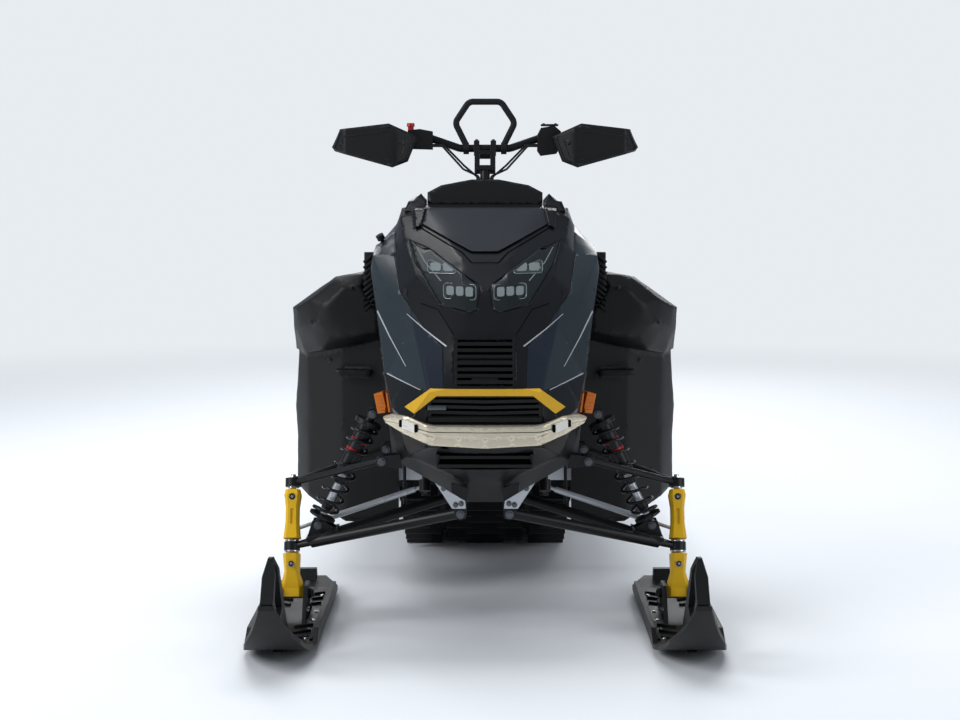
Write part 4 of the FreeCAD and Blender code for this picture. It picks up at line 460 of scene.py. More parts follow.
# Each finish is listed with the slot of the frame it belongs to: its own name, but for these, which share
# one.
SLOT_OF = {look: look for look in FINISHES}
SLOT_OF.update(hood_black="black_plastic", gloss_black="black_plastic", void_black="black_plastic",
               silver_line="alu", bright="alu", lamp_cell="alu", steel_bolt="alu", red_paint="red_lens",
               smoky="smoked_lens", lamp_frame="black_metal", pale_plate="champagne", thread="rubber",
               spring_steel="black_steel")


def mm(x, y, z):
    return Vector((x, SPINDLES_Y + y, z)) / 1000


def hits(spots):
    # Only the rays that met something.
    return [p for p in spots if p is not None]


def piece_from(bm, name, look, body="chassis", smooth=35, stands_for=()):
    bmesh.ops.remove_doubles(bm, verts=bm.verts, dist=1e-6)
    bmesh.ops.recalc_face_normals(bm, faces=bm.faces)
    mesh = bpy.data.meshes.new(name)
    bm.to_mesh(mesh)
    bm.free()
    mesh.shade_smooth()
    mesh.set_sharp_from_angle(angle=math.radians(smooth))
    mesh.materials.append(finish[look])
    made = bpy.data.objects.new(name, mesh)
    scene.collection.objects.link(made)
    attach(made, body)
    if stands_for:
        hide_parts(*stands_for)
    return made


print("slots", sorted(set(SLOT_OF.values())))

# %% [markdown]
# Nearly every small part is a rod, a box, a tube or a prism. A bmesh operator makes the first two at
# once. A tube carries a ring of points along a line, and a prism joins two outlines. Blender's own
# curve objects could do the tube too, but then each wire would be an object of its own.

# %% Rods, boxes, tubes and prisms
def rod_in(bm, a, b, radius, sides=20, end_radius=None):
    # A round bar between two points. Six sides make a bolt head of it.
    way = b - a
    turn = way.to_track_quat("Z", "Y").to_matrix().to_4x4()
    spot = Matrix.Translation((a + b) / 2) @ turn
    bmesh.ops.create_cone(bm, cap_ends=True, segments=sides, radius1=radius,
                          radius2=radius if end_radius is None else end_radius, depth=way.length, matrix=spot)


def box_in(bm, middle, size, turn=None, bevel=0.0):
    spot = Matrix.Translation(middle) @ (turn.to_4x4() if turn else Matrix()) @ Matrix.Diagonal((*size, 1))
    made = bmesh.ops.create_cube(bm, size=1, matrix=spot)["verts"]
    if bevel:
        edges = list({e for v in made for e in v.link_edges})
        bmesh.ops.bevel(bm, geom=edges, offset=bevel, segments=2, affect="EDGES", profile=0.5, material=-1)


def tube_in(bm, points, radius, sides=10, closed=False):
    # A ring is carried along the points. Each ring turns as little as it can from the one before.
    count = len(points)
    side = None
    rings = []
    for i, point in enumerate(points):
        ahead = points[(i + 1) % count] if closed or i + 1 < count else point
        behind = points[i - 1] if closed or i else point
        way = (ahead - behind).normalized()
        if side is None:
            side = way.orthogonal().normalized()
        side = (side - way * side.dot(way)).normalized()
        up = way.cross(side)
        size = radius[i] if isinstance(radius, list) else radius
        ring = []
        for k in range(sides):
            turn = 2 * math.pi * k / sides
            ring.append(bm.verts.new(point + (side * math.cos(turn) + up * math.sin(turn)) * size))
        rings.append(ring)
    steps = count if closed else count - 1
    for i in range(steps):
        low, high = rings[i], rings[(i + 1) % count]
        for k in range(sides):
            bm.faces.new((low[k], low[(k + 1) % sides], high[(k + 1) % sides], high[k]))
    if not closed:
        bm.faces.new(list(reversed(rings[0])))
        bm.faces.new(rings[-1])


def prism_in(bm, top, low):
    # Two outlines with as many corners, joined by a wall.
    bm.faces.new(top)
    bm.faces.new(list(reversed(low)))
    for i in range(len(top)):
        k = (i + 1) % len(top)
        bm.faces.new((top[i], low[i], low[k], top[k]))


def bolt_in(bm, place, way, across=7.0, height=6.0, washer=True):
    # A hexagon head on a washer. across is the radius of its corners' circle in millimetres.
    way = way.normalized()
    start = place
    if washer:
        rod_in(bm, place, place + way * 0.0015, across * 0.00135, 16)
        start = place + way * 0.0012
    rod_in(bm, start, start + way * height / 1000, across / 1000, 6, across * 0.00094)


def both_sides(bm):
    # Adds the mirror image over the machine's middle plane.
    copy = bmesh.ops.duplicate(bm, geom=bm.verts[:] + bm.edges[:] + bm.faces[:])["geom"]
    for v in (g for g in copy if isinstance(g, bmesh.types.BMVert)):
        v.co.x = -v.co.x
    bmesh.ops.reverse_faces(bm, faces=[g for g in copy if isinstance(g, bmesh.types.BMFace)])


print("shape helpers ready")

# %% [markdown]
# The solids carry each panel as flat strips between a few sections, which is how such a body is
# drawn. A moulded panel flows instead. So a copy of each panel is cut into small triangles, and every
# point that isn't on a sharp edge moves towards its neighbours' middle a few times over. The rims and
# hard lines stay exactly where the drawing has them, so the seams between panels stay even. Only the
# half on +x is cut up; its mirror image is the other half, so light falls alike on both.

# %% Let the panels flow
HARD_EDGE = math.radians(48)
FLAT_ENOUGH = math.radians(0.6)
SAME_SPOT = 2e-5
CLOSE_SPOT = 6e-4
TINY = 1e-5
PULL = 0.5
CUTS_AT_MOST = 9


def half_panel(node, step):
    # The +x half of a node's mesh, in triangles whose edges are hardly longer than step.
    bm = bmesh.new()
    bm.from_mesh(nodes[node].data)
    bmesh.ops.remove_doubles(bm, verts=bm.verts, dist=SAME_SPOT)
    bmesh.ops.dissolve_degenerate(bm, edges=bm.edges, dist=TINY)
    bmesh.ops.dissolve_limit(bm, angle_limit=FLAT_ENOUGH, verts=bm.verts, edges=bm.edges)
    bmesh.ops.remove_doubles(bm, verts=bm.verts, dist=CLOSE_SPOT)
    bmesh.ops.bisect_plane(bm, geom=bm.verts[:] + bm.edges[:] + bm.faces[:], dist=TINY,
                           plane_co=(0, 0, 0), plane_no=(1, 0, 0), clear_inner=True)
    bmesh.ops.triangulate(bm, faces=bm.faces)
    for cut in range(CUTS_AT_MOST):
        long_edges = [e for e in bm.edges if e.calc_length() > step * 1.45]
        if not long_edges:
            break
        bmesh.ops.subdivide_edges(bm, edges=long_edges, cuts=1)
        bmesh.ops.triangulate(bm, faces=[f for f in bm.faces if len(f.verts) > 3])
    return bm


def flowing(node, look, body, step, rounds):
    bm = half_panel(node, step)
    both_sides(bm)
    middle = [v for v in bm.verts if abs(v.co.x) < TINY]
    bmesh.ops.remove_doubles(bm, verts=middle, dist=SAME_SPOT)
    bm.normal_update()
    held = set()
    for e in bm.edges:
        if len(e.link_faces) != 2 or e.calc_face_angle(0) > HARD_EDGE:
            held.update(e.verts)
    free = [v for v in bm.verts if v not in held]
    for turn in range(rounds):
        bmesh.ops.smooth_vert(bm, verts=free, factor=PULL, use_axis_x=True, use_axis_y=True, use_axis_z=True)
    print(node, "flows in", len(bm.faces), "triangles")
    return piece_from(bm, node + "_skin", look, body, smooth=38, stands_for=(node,))


SKINS = [
    # node, finish, step, rounds
    ("nose_mask", "hood_black", 0.010, 9), ("side_panels", "slate_panel", 0.010, 9),
    ("nose_panel", "hood_black", 0.014, 5), ("windshield", "satin_grey", 0.010, 12),
    ("gauge_console", "black_plastic", 0.012, 12), ("rear_cowl", "black_plastic", 0.016, 12),
    ("side_deflectors", "black_plastic", 0.012, 18), ("fuel_tank", "black_plastic", 0.018, 16),
    ("front_bumper", "champagne", 0.008, 3), ("headlights", "smoky", 0.009, 12),
    ("hand_guards", "black_plastic", 0.010, 8),
]
skin = {}
for node, look, step, rounds in SKINS:
    body = "steering_bar" if node == "hand_guards" else "chassis"
    skin[node] = flowing(node, look, body, step, rounds)
print("skins", len(skin))

# %% [markdown]
# A ray cast needs a tree of the faces it may meet. The camera's lens length and shift turn a pixel into
# a direction, just as the real camera turned a direction into a pixel. Where a place is known in
# millimetres instead, the ray runs straight back or straight in from the side.

# %% Cast a ray onto a skin
from mathutils.bvhtree import BVHTree

EYE = Vector((0, -CAMERA_BACK, CAMERA_HEIGHT))
TILT = Matrix.Rotation(math.radians(CAMERA_TILT), 3, "X")


def tree_of(*objects):
    bm = bmesh.new()
    for obj in objects:
        bm.from_mesh(obj.data)
    found = BVHTree.FromBMesh(bm)
    bm.free()
    return found


def cast(tree, start, way, lift=0.0):
    # Where a ray meets the tree, moved out by lift metres, and the normal there, turned to the ray.
    spot, normal = tree.ray_cast(start, way)[:2]
    if spot is None:
        return None, None
    if normal.dot(way) > 0:
        normal = -normal
    return spot + normal * lift, normal


def seen(tree, u, v, lift=0.0):
    # The point of the skin that shows at pixel u, v.
    x = ((u - PIXELS_WIDE / 2) / PIXELS_WIDE + CAMERA_SHIFT) * SENSOR_WIDTH / LENS
    y = (PIXELS_HIGH / 2 - v) / PIXELS_WIDE * SENSOR_WIDTH / LENS
    return cast(tree, EYE, (TILT @ Vector((x, y, -1))).normalized(), lift)


def ahead(tree, x, z, lift=0.0):
    # The point of the skin straight behind a place in the front view, given in millimetres.
    return cast(tree, Vector((x / 1000, -3, z / 1000)), Vector((0, 1, 0)), lift)


def beside(tree, y, z):
    # The point of a left skin that faces sideways at a distance behind the spindles and a height.
    return cast(tree, mm(-900, y, z), Vector((1, 0, 0)))


mask_tree = tree_of(skin["nose_mask"])
bumper_tree = tree_of(skin["front_bumper"])
lamp_tree = tree_of(skin["headlights"])
print("a pixel of the panel lies at", seen(tree_of(skin["side_panels"]), 420, 340)[0])

# %% [markdown]
# A pin stripe is a ribbon, so its line of pixels is first walked in small steps. Each step is cast onto
# the skin, and the ribbon's width is laid out square to the line and to the normal, so it lies flat.

# %% Lines along a skin
def along(points, step=0.012):
    # The same line with a point at least every step.
    line = []
    for a, b in zip(points, points[1:]):
        count = max(1, math.ceil((b - a).length / step))
        line += [a.lerp(b, i / count) for i in range(count)]
    return line + [points[-1]]


def stripe_in(bm, tree, pixels, widths, steps=14, lift=0.0006):
    # A thin ribbon that lies on the skin along a line of pixels. widths are its start and end in metres.
    line = []
    for i in range(steps + 1):
        t = i / steps * (len(pixels) - 1)
        k = min(int(t), len(pixels) - 2)
        f = t - k
        u = pixels[k][0] * (1 - f) + pixels[k + 1][0] * f
        v = pixels[k][1] * (1 - f) + pixels[k + 1][1] * f
        spot, normal = seen(tree, u, v, lift)
        if spot is not None:
            line.append((spot, normal))
    edges = []
    for i, (spot, normal) in enumerate(line):
        after = line[min(i + 1, len(line) - 1)][0]
        before = line[max(i - 1, 0)][0]
        side = (after - before).normalized().cross(normal).normalized()
        half = (widths[0] + (widths[1] - widths[0]) * i / max(1, len(line) - 1)) / 2
        edges.append((bm.verts.new(spot + side * half), bm.verts.new(spot - side * half)))
    for (a, b), (c, d) in zip(edges, edges[1:]):
        bm.faces.new((a, b, d, c))


print("line helpers ready")

# %% [markdown]
# A plate that follows a skin starts as an outline in pixels. Each corner is cast onto the skin, lifted
# or sunk along the normal there, and the outline is given a thickness. Both halves of the nose are
# alike, so only the left half is drawn and `both_sides` adds the other.

# %% Plates that follow a skin
def rounded(u0, v0, u1, v1, corner=2.0, lean=0.0, steps=3):
    # The outline of a rounded rectangle in pixels. lean shifts its right side down.
    outline = []
    for cu, cv, start in ((u1 - corner, v0 + corner, -90), (u1 - corner, v1 - corner, 0),
                          (u0 + corner, v1 - corner, 90), (u0 + corner, v0 + corner, 180)):
        for i in range(steps + 1):
            a = math.radians(start + 90 * i / steps)
            u, v = cu + corner * math.cos(a), cv + corner * math.sin(a)
            outline.append((u, v + lean * (u - u0) / (u1 - u0)))
    return outline


def plate_in(bm, tree, pixels, lift, depth):
    spots = [s for s in (seen(tree, u, v, lift) for u, v in pixels) if s[0] is not None]
    if len(spots) < 3:
        return
    normal = sum((n for s, n in spots), Vector()).normalized()
    prism_in(bm, [bm.verts.new(s) for s, n in spots], [bm.verts.new(s - normal * depth) for s, n in spots])


def rim_in(bm, tree, pixels, lift, radius):
    tube_in(bm, hits(seen(tree, u, v, lift)[0] for u, v in pixels), radius, 8, closed=True)


print("a rounded outline has", len(rounded(0, 0, 9, 9)), "corners")

# %% [markdown]
# A lamp reads as a dark lens with two bright modules behind it. Clear glass would need many rays to
# come out clean, so the lens is an opaque dark skin here, and the modules, each a frame with small
# shiny cells and a thin rim, lie on it.

# %% Fit the headlight modules
frames = bmesh.new()
cells = bmesh.new()
module_rims = bmesh.new()
MODULES = [
    # outline of the module, then its cells, all in pixels
    ((427.5, 260.0, 456.5, 273.0, 3.0, 1.0), [(430.5, 262.5, 441, 270.5), (443, 262.8, 453.5, 271)]),
    ((443.5, 283.0, 476.0, 298.5, 3.5, 2.0),
     [(446.5, 286, 454, 295), (456, 286.4, 463.5, 295.6), (465.5, 287, 473, 296.5)]),
]
for outline, inside in MODULES:
    plate_in(frames, lamp_tree, rounded(*outline), 0.0006, 0.002)
    rim_in(module_rims, lamp_tree, rounded(*outline), 0.0006, 0.0011)
    for corners in inside:
        plate_in(cells, lamp_tree, rounded(*corners, 2.0, 0.5), 0.0011, 0.0018)
stripe_in(cells, lamp_tree, [(417, 247), (425, 262), (441, 281)], (0.0022, 0.0030), 10, 0.0005)
for bm in (frames, cells, module_rims):
    both_sides(bm)
piece_from(frames, "lamp_frames", "lamp_frame")
piece_from(cells, "lamp_cells", "lamp_cell")
piece_from(module_rims, "lamp_module_rims", "lamp_cell")
print("lamps have", len(MODULES), "modules each")

# %% [markdown]
# A soft black bead closes the seam between lens and mask. It follows the lens's outline in the front
# view, drawn a little wider and cast onto the mask.

# %% Bead round the lamps
WIDER = 1.012
OUTER_SHIFT = 1.5
LENS_EDGE = [(-199, 1005), (-180, 949), (-111, 851), (-37, 835), (-20, 842), (-12, 893), (-18, 903),
             (-143, 985), (-168, 985)]
rims = bmesh.new()
edge_line = hits(ahead(mask_tree, x * WIDER - OUTER_SHIFT, z, 0.0002)[0] for x, z in LENS_EDGE)
tube_in(rims, along(edge_line + [edge_line[0]])[:-1], 0.0022, 8, closed=True)
both_sides(rims)
piece_from(rims, "lamp_rims", "black_plastic")
print("bead has", len(edge_line), "corners")

# %% [markdown]
# Lines on the hood are where a moulded panel tells its story: silver pin stripes on the slate sides, and dull
# black ribbons of painted shade along a second edge under the visor, a crease that runs down to the grille
# and the bumper's step. Each is a narrow ribbon on the skin.

# %% Lines on hood and sides
silver = bmesh.new()
front_tree = tree_of(skin["side_panels"], skin["nose_panel"], skin["nose_mask"])
for pixels, widths in [
    ([(377.5, 311), (390, 337), (406, 366.5)], (0.0050, 0.0020)),
    ([(407, 314), (424, 329), (446.5, 346.5)], (0.0016, 0.0040)),
    ([(384.5, 372), (402, 381), (420.5, 390)], (0.0034, 0.0020)),
]:
    stripe_in(silver, front_tree, pixels, widths)
both_sides(silver)
piece_from(silver, "pin_stripes", "silver_line", smooth=60)

# Dull black ribbons of painted shade along the visor's edge, the crease and the bumper's step.
shade_lines = bmesh.new()
for tree, pixels, widths, lift in [
    (mask_tree, [(421, 228), (441, 240), (462, 252.5), (471.6, 263), (485, 263)], (0.0032, 0.0032), 0.0012),
    (mask_tree, [(421, 303.5), (438, 309.5), (454, 335)], (0.0022, 0.0016), 0.0012),
    # The shadow line between the bumper's top slope and its face.
    (bumper_tree, [(401, 421), (418, 429), (430, 432.4), (485, 433)], (0.0016, 0.0016), 0.0004),
]:
    stripe_in(shade_lines, tree, pixels, widths, 16, lift)
both_sides(shade_lines)
piece_from(shade_lines, "hood_shade_lines", "void_black", smooth=60)

vents = bmesh.new()
vent_outline = [(404, 288), (408, 289), (407, 296), (411, 303), (407, 303), (403, 296)]
plate_in(vents, mask_tree, vent_outline, 0.0015, 0.003)
both_sides(vents)
piece_from(vents, "side_vents", "black_plastic", smooth=30)
print("lines laid on the skins")

# %% [markdown]
# A grille is mostly a shadow with a few bars in front of it. A dull black plate well behind the opening
# makes the shadow, whatever the light does. The bars lean with the mask, whose slope two rays measure.

# %% Fill in the grilles
GRILLE_LOW = 668
GRILLE_HIGH = 768
GRILLE_SIDE = 84
low_y = ahead(mask_tree, GRILLE_SIDE, GRILLE_LOW)[0].y
high_y = ahead(mask_tree, GRILLE_SIDE, GRILLE_HIGH)[0].y


def grille_place(z, inward):
    # A point of the grille's front plane at height z, moved back by inward millimetres.
    share = (z - GRILLE_LOW) / (GRILLE_HIGH - GRILLE_LOW)
    return Vector((0, low_y + (high_y - low_y) * share + inward / 1000, z / 1000))


lean = Matrix.Rotation(-math.atan2(high_y - low_y, (GRILLE_HIGH - GRILLE_LOW) / 1000), 3, "X")
bars = bmesh.new()
box_in(bars, grille_place(722, 5), (0.148, 0.006, 0.020), lean, 0.0015)
box_in(bars, grille_place(676, 3), (0.066, 0.006, 0.020), lean, 0.0018)
piece_from(bars, "grille_bar", "hood_black")
backs = bmesh.new()
box_in(backs, grille_place(718, 42), (0.150, 0.002, 0.112), lean)
box_in(backs, mm(0, -268, 606), (0.276, 0.002, 0.062))
box_in(backs, mm(0, -228, 473), (0.236, 0.002, 0.044))
piece_from(backs, "grille_backs", "void_black")
insert = bmesh.new()
box_in(insert, mm(-118, -293.5, 612), (0.046, 0.003, 0.012), None, 0.001)
piece_from(insert, "nose_insert", "steel_bolt")
print("grille leans", round(math.degrees(lean.to_euler().x), 1), "degrees")

# %% [markdown]
# The bumper carries a pale plate between two openings on each side, which are dull black patches of painted
# shade, and each amber reflector has five moulded ribs on its flat front. They are small, but in the front
# view they break up two large faces.

# %% Plates on the bumper and ribs on the reflectors
RIB_FOOT = 580
RIB_STEP = 9
LENS_FRONT = -84.4
blank = bmesh.new()
hole_shade = bmesh.new()
for pixels, bm, lift in [
    (rounded(403, 419.4, 415, 428.4, 1.2, 4.5), blank, 0.0035),
    # Dull black patches of painted shade stand for the two openings.
    (rounded(400.2, 419.6, 402.8, 427.0, 1.2), hole_shade, 0.0040),
    (rounded(415.2, 424.4, 417.8, 432.4, 1.2), hole_shade, 0.0040),
]:
    plate_in(bm, bumper_tree, pixels, lift, 0.006)
both_sides(blank)
both_sides(hole_shade)
piece_from(blank, "bumper_plates", "pale_plate")
piece_from(hole_shade, "bumper_hole_shade", "void_black")

ribs = bmesh.new()
for k in range(5):
    # The lens leans outwards as it rises.
    rise = RIB_STEP * k
    box_in(ribs, mm(-266 - 0.15 * rise, LENS_FRONT, RIB_FOOT + rise), (0.018, 0.0016, 0.0026), None, 0.0005)
both_sides(ribs)
piece_from(ribs, "reflector_ribs", "amber")
print("grille and bumper filled in")

# %% [markdown]
# The suspension has the shapes a wrench knows: round wire, rubber boots, bolt heads and lock rings.
# The coil is a tube carried along a helix, so its wire is truly round.

# %% Springs and shocks
SHOCK_TOP = mm(-292, 12, 560)
SHOCK_FOOT = mm(-436, 12, 268)
shock_way = (SHOCK_TOP - SHOCK_FOOT).normalized()
shock_length = (SHOCK_TOP - SHOCK_FOOT).length


def helix(foot, way, first, last, radius, coils, steps=20):
    side = Vector((0, 1, 0))
    side = (side - way * side.dot(way)).normalized()
    front = way.cross(side)
    points = []
    for i in range(coils * steps + 1):
        turn = 2 * math.pi * i / steps
        # The end coils lie closer together, as ground spring ends do.
        t = i / (coils * steps)
        ease = t - 0.035 * math.sin(2 * math.pi * t)
        out = side * math.cos(turn) + front * math.sin(turn)
        points.append(foot + way * (first + (last - first) * ease) + out * radius)
    return points


coil = bmesh.new()
tube_in(coil, helix(SHOCK_FOOT, shock_way, 0.0305, shock_length - 0.0385, 0.0315, 8), 0.0042, 10)
both_sides(coil)
piece_from(coil, "coil_springs", "spring_steel", stands_for=("shock_springs",), smooth=60)

bright = bmesh.new()
dark = bmesh.new()
red = bmesh.new()
full = shock_length * 1000


def sleeve(bm, start, end, radius, sides=28):
    # A round part of the shock, from start to end along its axis, all in millimetres.
    low, high = (SHOCK_FOOT + shock_way * distance / 1000 for distance in (start, end))
    rod_in(bm, low, high, radius / 1000, sides)


sleeve(bright, 30, shock_length * 480 - 2, 9.8, 24)
for start, end, radius in ((44, 62, 14.0), (120, 132, 13.0)):
    sleeve(dark, start, end, radius, 24)
for start, end, radius in ((0.48 * full - 6, 0.48 * full, 20), (full - 60, full - 36, 22.6)):
    sleeve(dark, start, end, radius)
for start, end, radius in ((full - 84, full - 76, 23.2), (full - 112, full - 104, 23.2)):
    sleeve(red, start, end, radius)
for k in range(6):
    sleeve(dark, full - 33 + 1.6 * k, full - 32.2 + 1.6 * k, 36.2 if k % 2 else 35.7)
for bm in (bright, dark, red):
    both_sides(bm)
piece_from(bright, "shock_shafts", "silver_line")
piece_from(dark, "shock_collars", "black_steel")
piece_from(red, "shock_adjusters", "red_paint")
print("springs wound, shocks", round(full), "mm long")

# %% [markdown]
# Bolt heads tell the eye how large a machine is. They sit where the arms meet the frame, and in the
# recesses of the yellow forging, where a ray from ahead finds the bottom of each recess. What is on a
# spindle rides on that spindle, so it turns with the ski.

# %% Bolts on arms, spindles and subframe
CASTER = math.radians(18)
AXIS = Vector((0, math.sin(CASTER), math.cos(CASTER)))
FORWARD = Vector((0, -math.cos(CASTER), math.sin(CASTER)))
SKI_X = 505
SKI_BOLT = 86
LOWER_JOINT = 210
UPPER_JOINT = 370
UPPER_RECESS = 0.128
LOWER_RECESS = -0.047
SIDES = ((-1, "left"), (1, "right"))

frame_bolts = bmesh.new()
for x, y, z, half in [(262, -110, 455, 30), (262, 110, 455, 30), (62, -150, 326, 26), (62, 150, 326, 26),
                      (292, 12, 560, 29), (436, 12, 268, 27)]:
    for side in (-1, 1):
        bolt_in(frame_bolts, mm(-x, y + side * half, z), Vector((0, side, 0)), 8, 6)
for x, z in ((104, 394), (74, 352), (60, 355)):
    bolt_in(frame_bolts, mm(-x, -183.5, z), Vector((0, -1, 0)), 5, 4)
both_sides(frame_bolts)
piece_from(frame_bolts, "frame_bolts", "steel_bolt", smooth=30)


def king(x, z):
    # A point of the kingpin's axis at height z.
    return mm(x, (z - LOWER_JOINT) * math.tan(CASTER), z)


for side, label in SIDES:
    body = "spindle_" + label
    x = side * SKI_X
    top = king(x, UPPER_JOINT)
    low = king(x, LOWER_JOINT)
    # The nut and stud on the upper joint, and the bright seal ring under each collar.
    studs = bmesh.new()
    for start, end, radius, sides in ((0.0105, 0.016, 0.0135, 6), (0.016, 0.0215, 0.0065, 18)):
        rod_in(studs, top + AXIS * start, top + AXIS * end, radius, sides)
    rings = bmesh.new()
    for spot, start, end, radius in ((low, -0.0150, -0.0115, 0.0195), (low, 0.0115, 0.0150, 0.0195),
                                     (top, -0.0150, -0.0115, 0.0150)):
        rod_in(rings, spot + AXIS * start, spot + AXIS * end, radius, 28)
    steel = bmesh.new()
    forging = tree_of(nodes["spindle_" + label[0]])
    for up in (UPPER_RECESS, LOWER_RECESS):
        spot = forging.ray_cast(low + AXIS * up + FORWARD * 0.2, -FORWARD)[0]
        rod_in(rings, spot - FORWARD * 0.001, spot + FORWARD * 0.0012, 0.0086, 24)
        rod_in(steel, spot, spot + FORWARD * 0.0060, 0.0074, 24, 0.0068)
        rod_in(rings, spot + FORWARD * 0.0055, spot + FORWARD * 0.0064, 0.0036, 6)
    for way in (-1, 1):
        # The ski's cross bolt is steel, so a dark cap covers the head that the forging's node has.
        rod_in(steel, mm(x + way * 42.3, 0, SKI_BOLT), mm(x + way * 51.6, 0, SKI_BOLT), 0.0136, 28)
        bolt_in(steel, mm(x + way * 51.4, 0, SKI_BOLT), Vector((way, 0, 0)), 9, 5, washer=False)
    piece_from(studs, "joint_studs_" + label, "bright", body, smooth=30)
    piece_from(rings, "joint_seals_" + label, "bright", body)
    piece_from(steel, "spindle_bolts_" + label, "black_steel", body, smooth=30)
print("bolts in place")

# %% [markdown]
# A ski is a moulded plastic blade. Its steel wear bar, the ribs that stiffen its top and the rivets that
# hold its edges are what a close look finds, and they turn with the ski.

# %% Ski details
SKI_TOP = 26
RIB_LEAN = 0.5
for side, label in SIDES:
    body = "spindle_" + label
    cx = side * SKI_X
    ribs = bmesh.new()
    steel = bmesh.new()
    for y in (-250, -188, -126, 122, 184, 246):
        # Evenly spaced, but none goes under the foot of the spindle.
        for lane in (-1, 1):
            turn = Matrix.Rotation(lane * RIB_LEAN, 3, "Z")
            box_in(ribs, mm(cx + lane * 40, y, SKI_TOP + 3), (0.052, 0.007, 0.008), turn, 0.001)
    for lane in (-1, 1):
        box_in(ribs, mm(cx + lane * 72, -10, SKI_TOP + 2), (0.008, 0.52, 0.007), None, 0.0015)
        for y in range(-250, 231, 96):
            bolt_in(steel, mm(cx + lane * 58, y, SKI_TOP - 0.5), UP, 5, 3)
    rod_in(steel, mm(cx, -290, 5.2), mm(cx, 150, 5.2), 0.0046, 12)
    for lane in (-1, 1):
        for y in (-52, -36, 36, 52):
            bolt_in(steel, mm(cx + lane * 42.2, y, 52), Vector((lane, 0, 0)), 6, 4)
    piece_from(ribs, "ski_ribs_" + label, "black_plastic", body)
    piece_from(steel, "ski_steel_" + label, "bright", body, smooth=30)
print("skis detailed")

# %% [markdown]
# The bar is what the hands meet. The rubber has ribs, the buttons stand proud of their housings, and
# the stop switch is red, so that it is found at once. All of it rides on the bar and turns with it.

# %% Grips and switches
BAR = "steering_bar"
GRIP_END = mm(-410, 636, 1258)
BAR_KNEE = mm(-165, 602, 1284)
RIB_PITCH = 0.0078
POST_TILT = Matrix.Rotation(math.radians(-25), 3, "X")

run = (BAR_KNEE - GRIP_END).normalized()
grip_ribs = bmesh.new()
for k in range(14):
    a = GRIP_END + run * (0.016 + RIB_PITCH * k)
    rod_in(grip_ribs, a, a + run * 0.0040, 0.0182, 20)
for start, end, radius in ((0.004, 0.009, 0.0215), (0.126, 0.132, 0.0222)):
    rod_in(grip_ribs, GRIP_END + run * start, GRIP_END + run * end, radius, 24)
both_sides(grip_ribs)
piece_from(grip_ribs, "grip_ribs", "rubber", BAR)

switch = bmesh.new()
rod_in(switch, mm(-213, 592, 1300), mm(-213, 592, 1316), 0.0085, 20)
rod_in(switch, mm(-213, 592, 1314), mm(-213, 592, 1324), 0.0120, 24, 0.0105)
piece_from(switch, "stop_switch", "red_paint", BAR)
buttons = bmesh.new()
for x, z in ((-172, 1270), (-188, 1270), (-172, 1286)):
    box_in(buttons, mm(x, 617, z), (0.010, 0.005, 0.009), None, 0.0012)
for x, z in ((176, 1268), (192, 1268), (176, 1286), (192, 1286)):
    rod_in(buttons, mm(x, 615, z), mm(x, 620, z), 0.0052, 16)
piece_from(buttons, "bar_buttons", "satin_grey", BAR, smooth=30)
cap = bmesh.new()
box_in(cap, mm(185, 588, 1318), (0.050, 0.040, 0.006), None, 0.002)
for x in (168, 202):
    bolt_in(cap, mm(x, 588, 1320.5), UP, 4, 3, washer=False)
for x in (-24, 24):
    for up in (-1, 1):
        # Four bolts hold the bar's clamp, which leans back with the steering post.
        spot = mm(x, 600, 1252) + POST_TILT @ Vector((0, up * 0.012, 0.0165))
        bolt_in(cap, spot, POST_TILT @ UP, 5, 5, washer=False)
piece_from(cap, "reservoir_cap", "black_metal", BAR, smooth=30)
print("grips ribbed and switches set")

# %% [markdown]
# The guard in front of each hand is a thin moulded shell. A raised border along its edge and a second,
# finer line inside it make it read as stiff and dished. Both lines are cast onto the shell from ahead.

# %% Borders and bolts of the hand guards
GUARD_EDGE = [(-431, 1254), (-410, 1297), (-273, 1313), (-202, 1283), (-225, 1219), (-264, 1205),
              (-424, 1247)]
GUARD_DISH = [(-414, 1256), (-400, 1284), (-276, 1299), (-222, 1277), (-238, 1228), (-270, 1218)]
guard_tree = tree_of(nodes["hand_guards"])
border = bmesh.new()
for outline, radius in ((GUARD_EDGE, 0.0028), (GUARD_DISH, 0.0018)):
    line = hits(ahead(guard_tree, x, z, 0.0004)[0] for x, z in outline)
    tube_in(border, along(line + [line[0]], 0.010)[:-1], radius, 8, closed=True)
both_sides(border)
piece_from(border, "guard_borders", "satin_grey", BAR)
guard_bolts = bmesh.new()
for x, z in ((-236, 1268), (-405, 1270)):
    spot, normal = ahead(guard_tree, x, z)
    bolt_in(guard_bolts, spot, normal, 6, 3)
both_sides(guard_bolts)
piece_from(guard_bolts, "guard_bolts", "black_steel", BAR, smooth=30)
print("guards bordered")

# %% [markdown]
# Behind the nose the machine is a folded aluminium tunnel. Rivets in even rows, a toothed edge on the
# running boards and pressed ribs give it scale. Each kind of detail is one joined piece, so a few dozen
# rivets cost one object.

# %% Rivets of the tunnel
BEHIND_SEAT = 1700
rivets = bmesh.new()


def rivet(spot, way, radius=0.0042):
    rod_in(rivets, spot, spot + way * 0.0018, radius, 8, radius * 0.7)


for x in (-236, -180, 180, 236):
    for y in range(990, 2233, 54):
        # The two inner rows only start where the seat ends.
        if abs(x) == 236 or y >= BEHIND_SEAT:
            rivet(mm(x, y, 590), UP)
for side in (-1, 1):
    for x, z, start, count in ((276, 560, 520, 26), (281.5, 326, 730, 17)):
        for k in range(count):
            rivet(mm(side * x, start + 68 * k, z), Vector((side, 0, 0)))
piece_from(rivets, "tunnel_rivets", "bright", smooth=30)
print("tunnel riveted")

# %% [markdown]
# A running board is punched so that snow falls through and a boot holds. The teeth along its edge are
# bent alternately to either side, which a turn of changing sign gives.

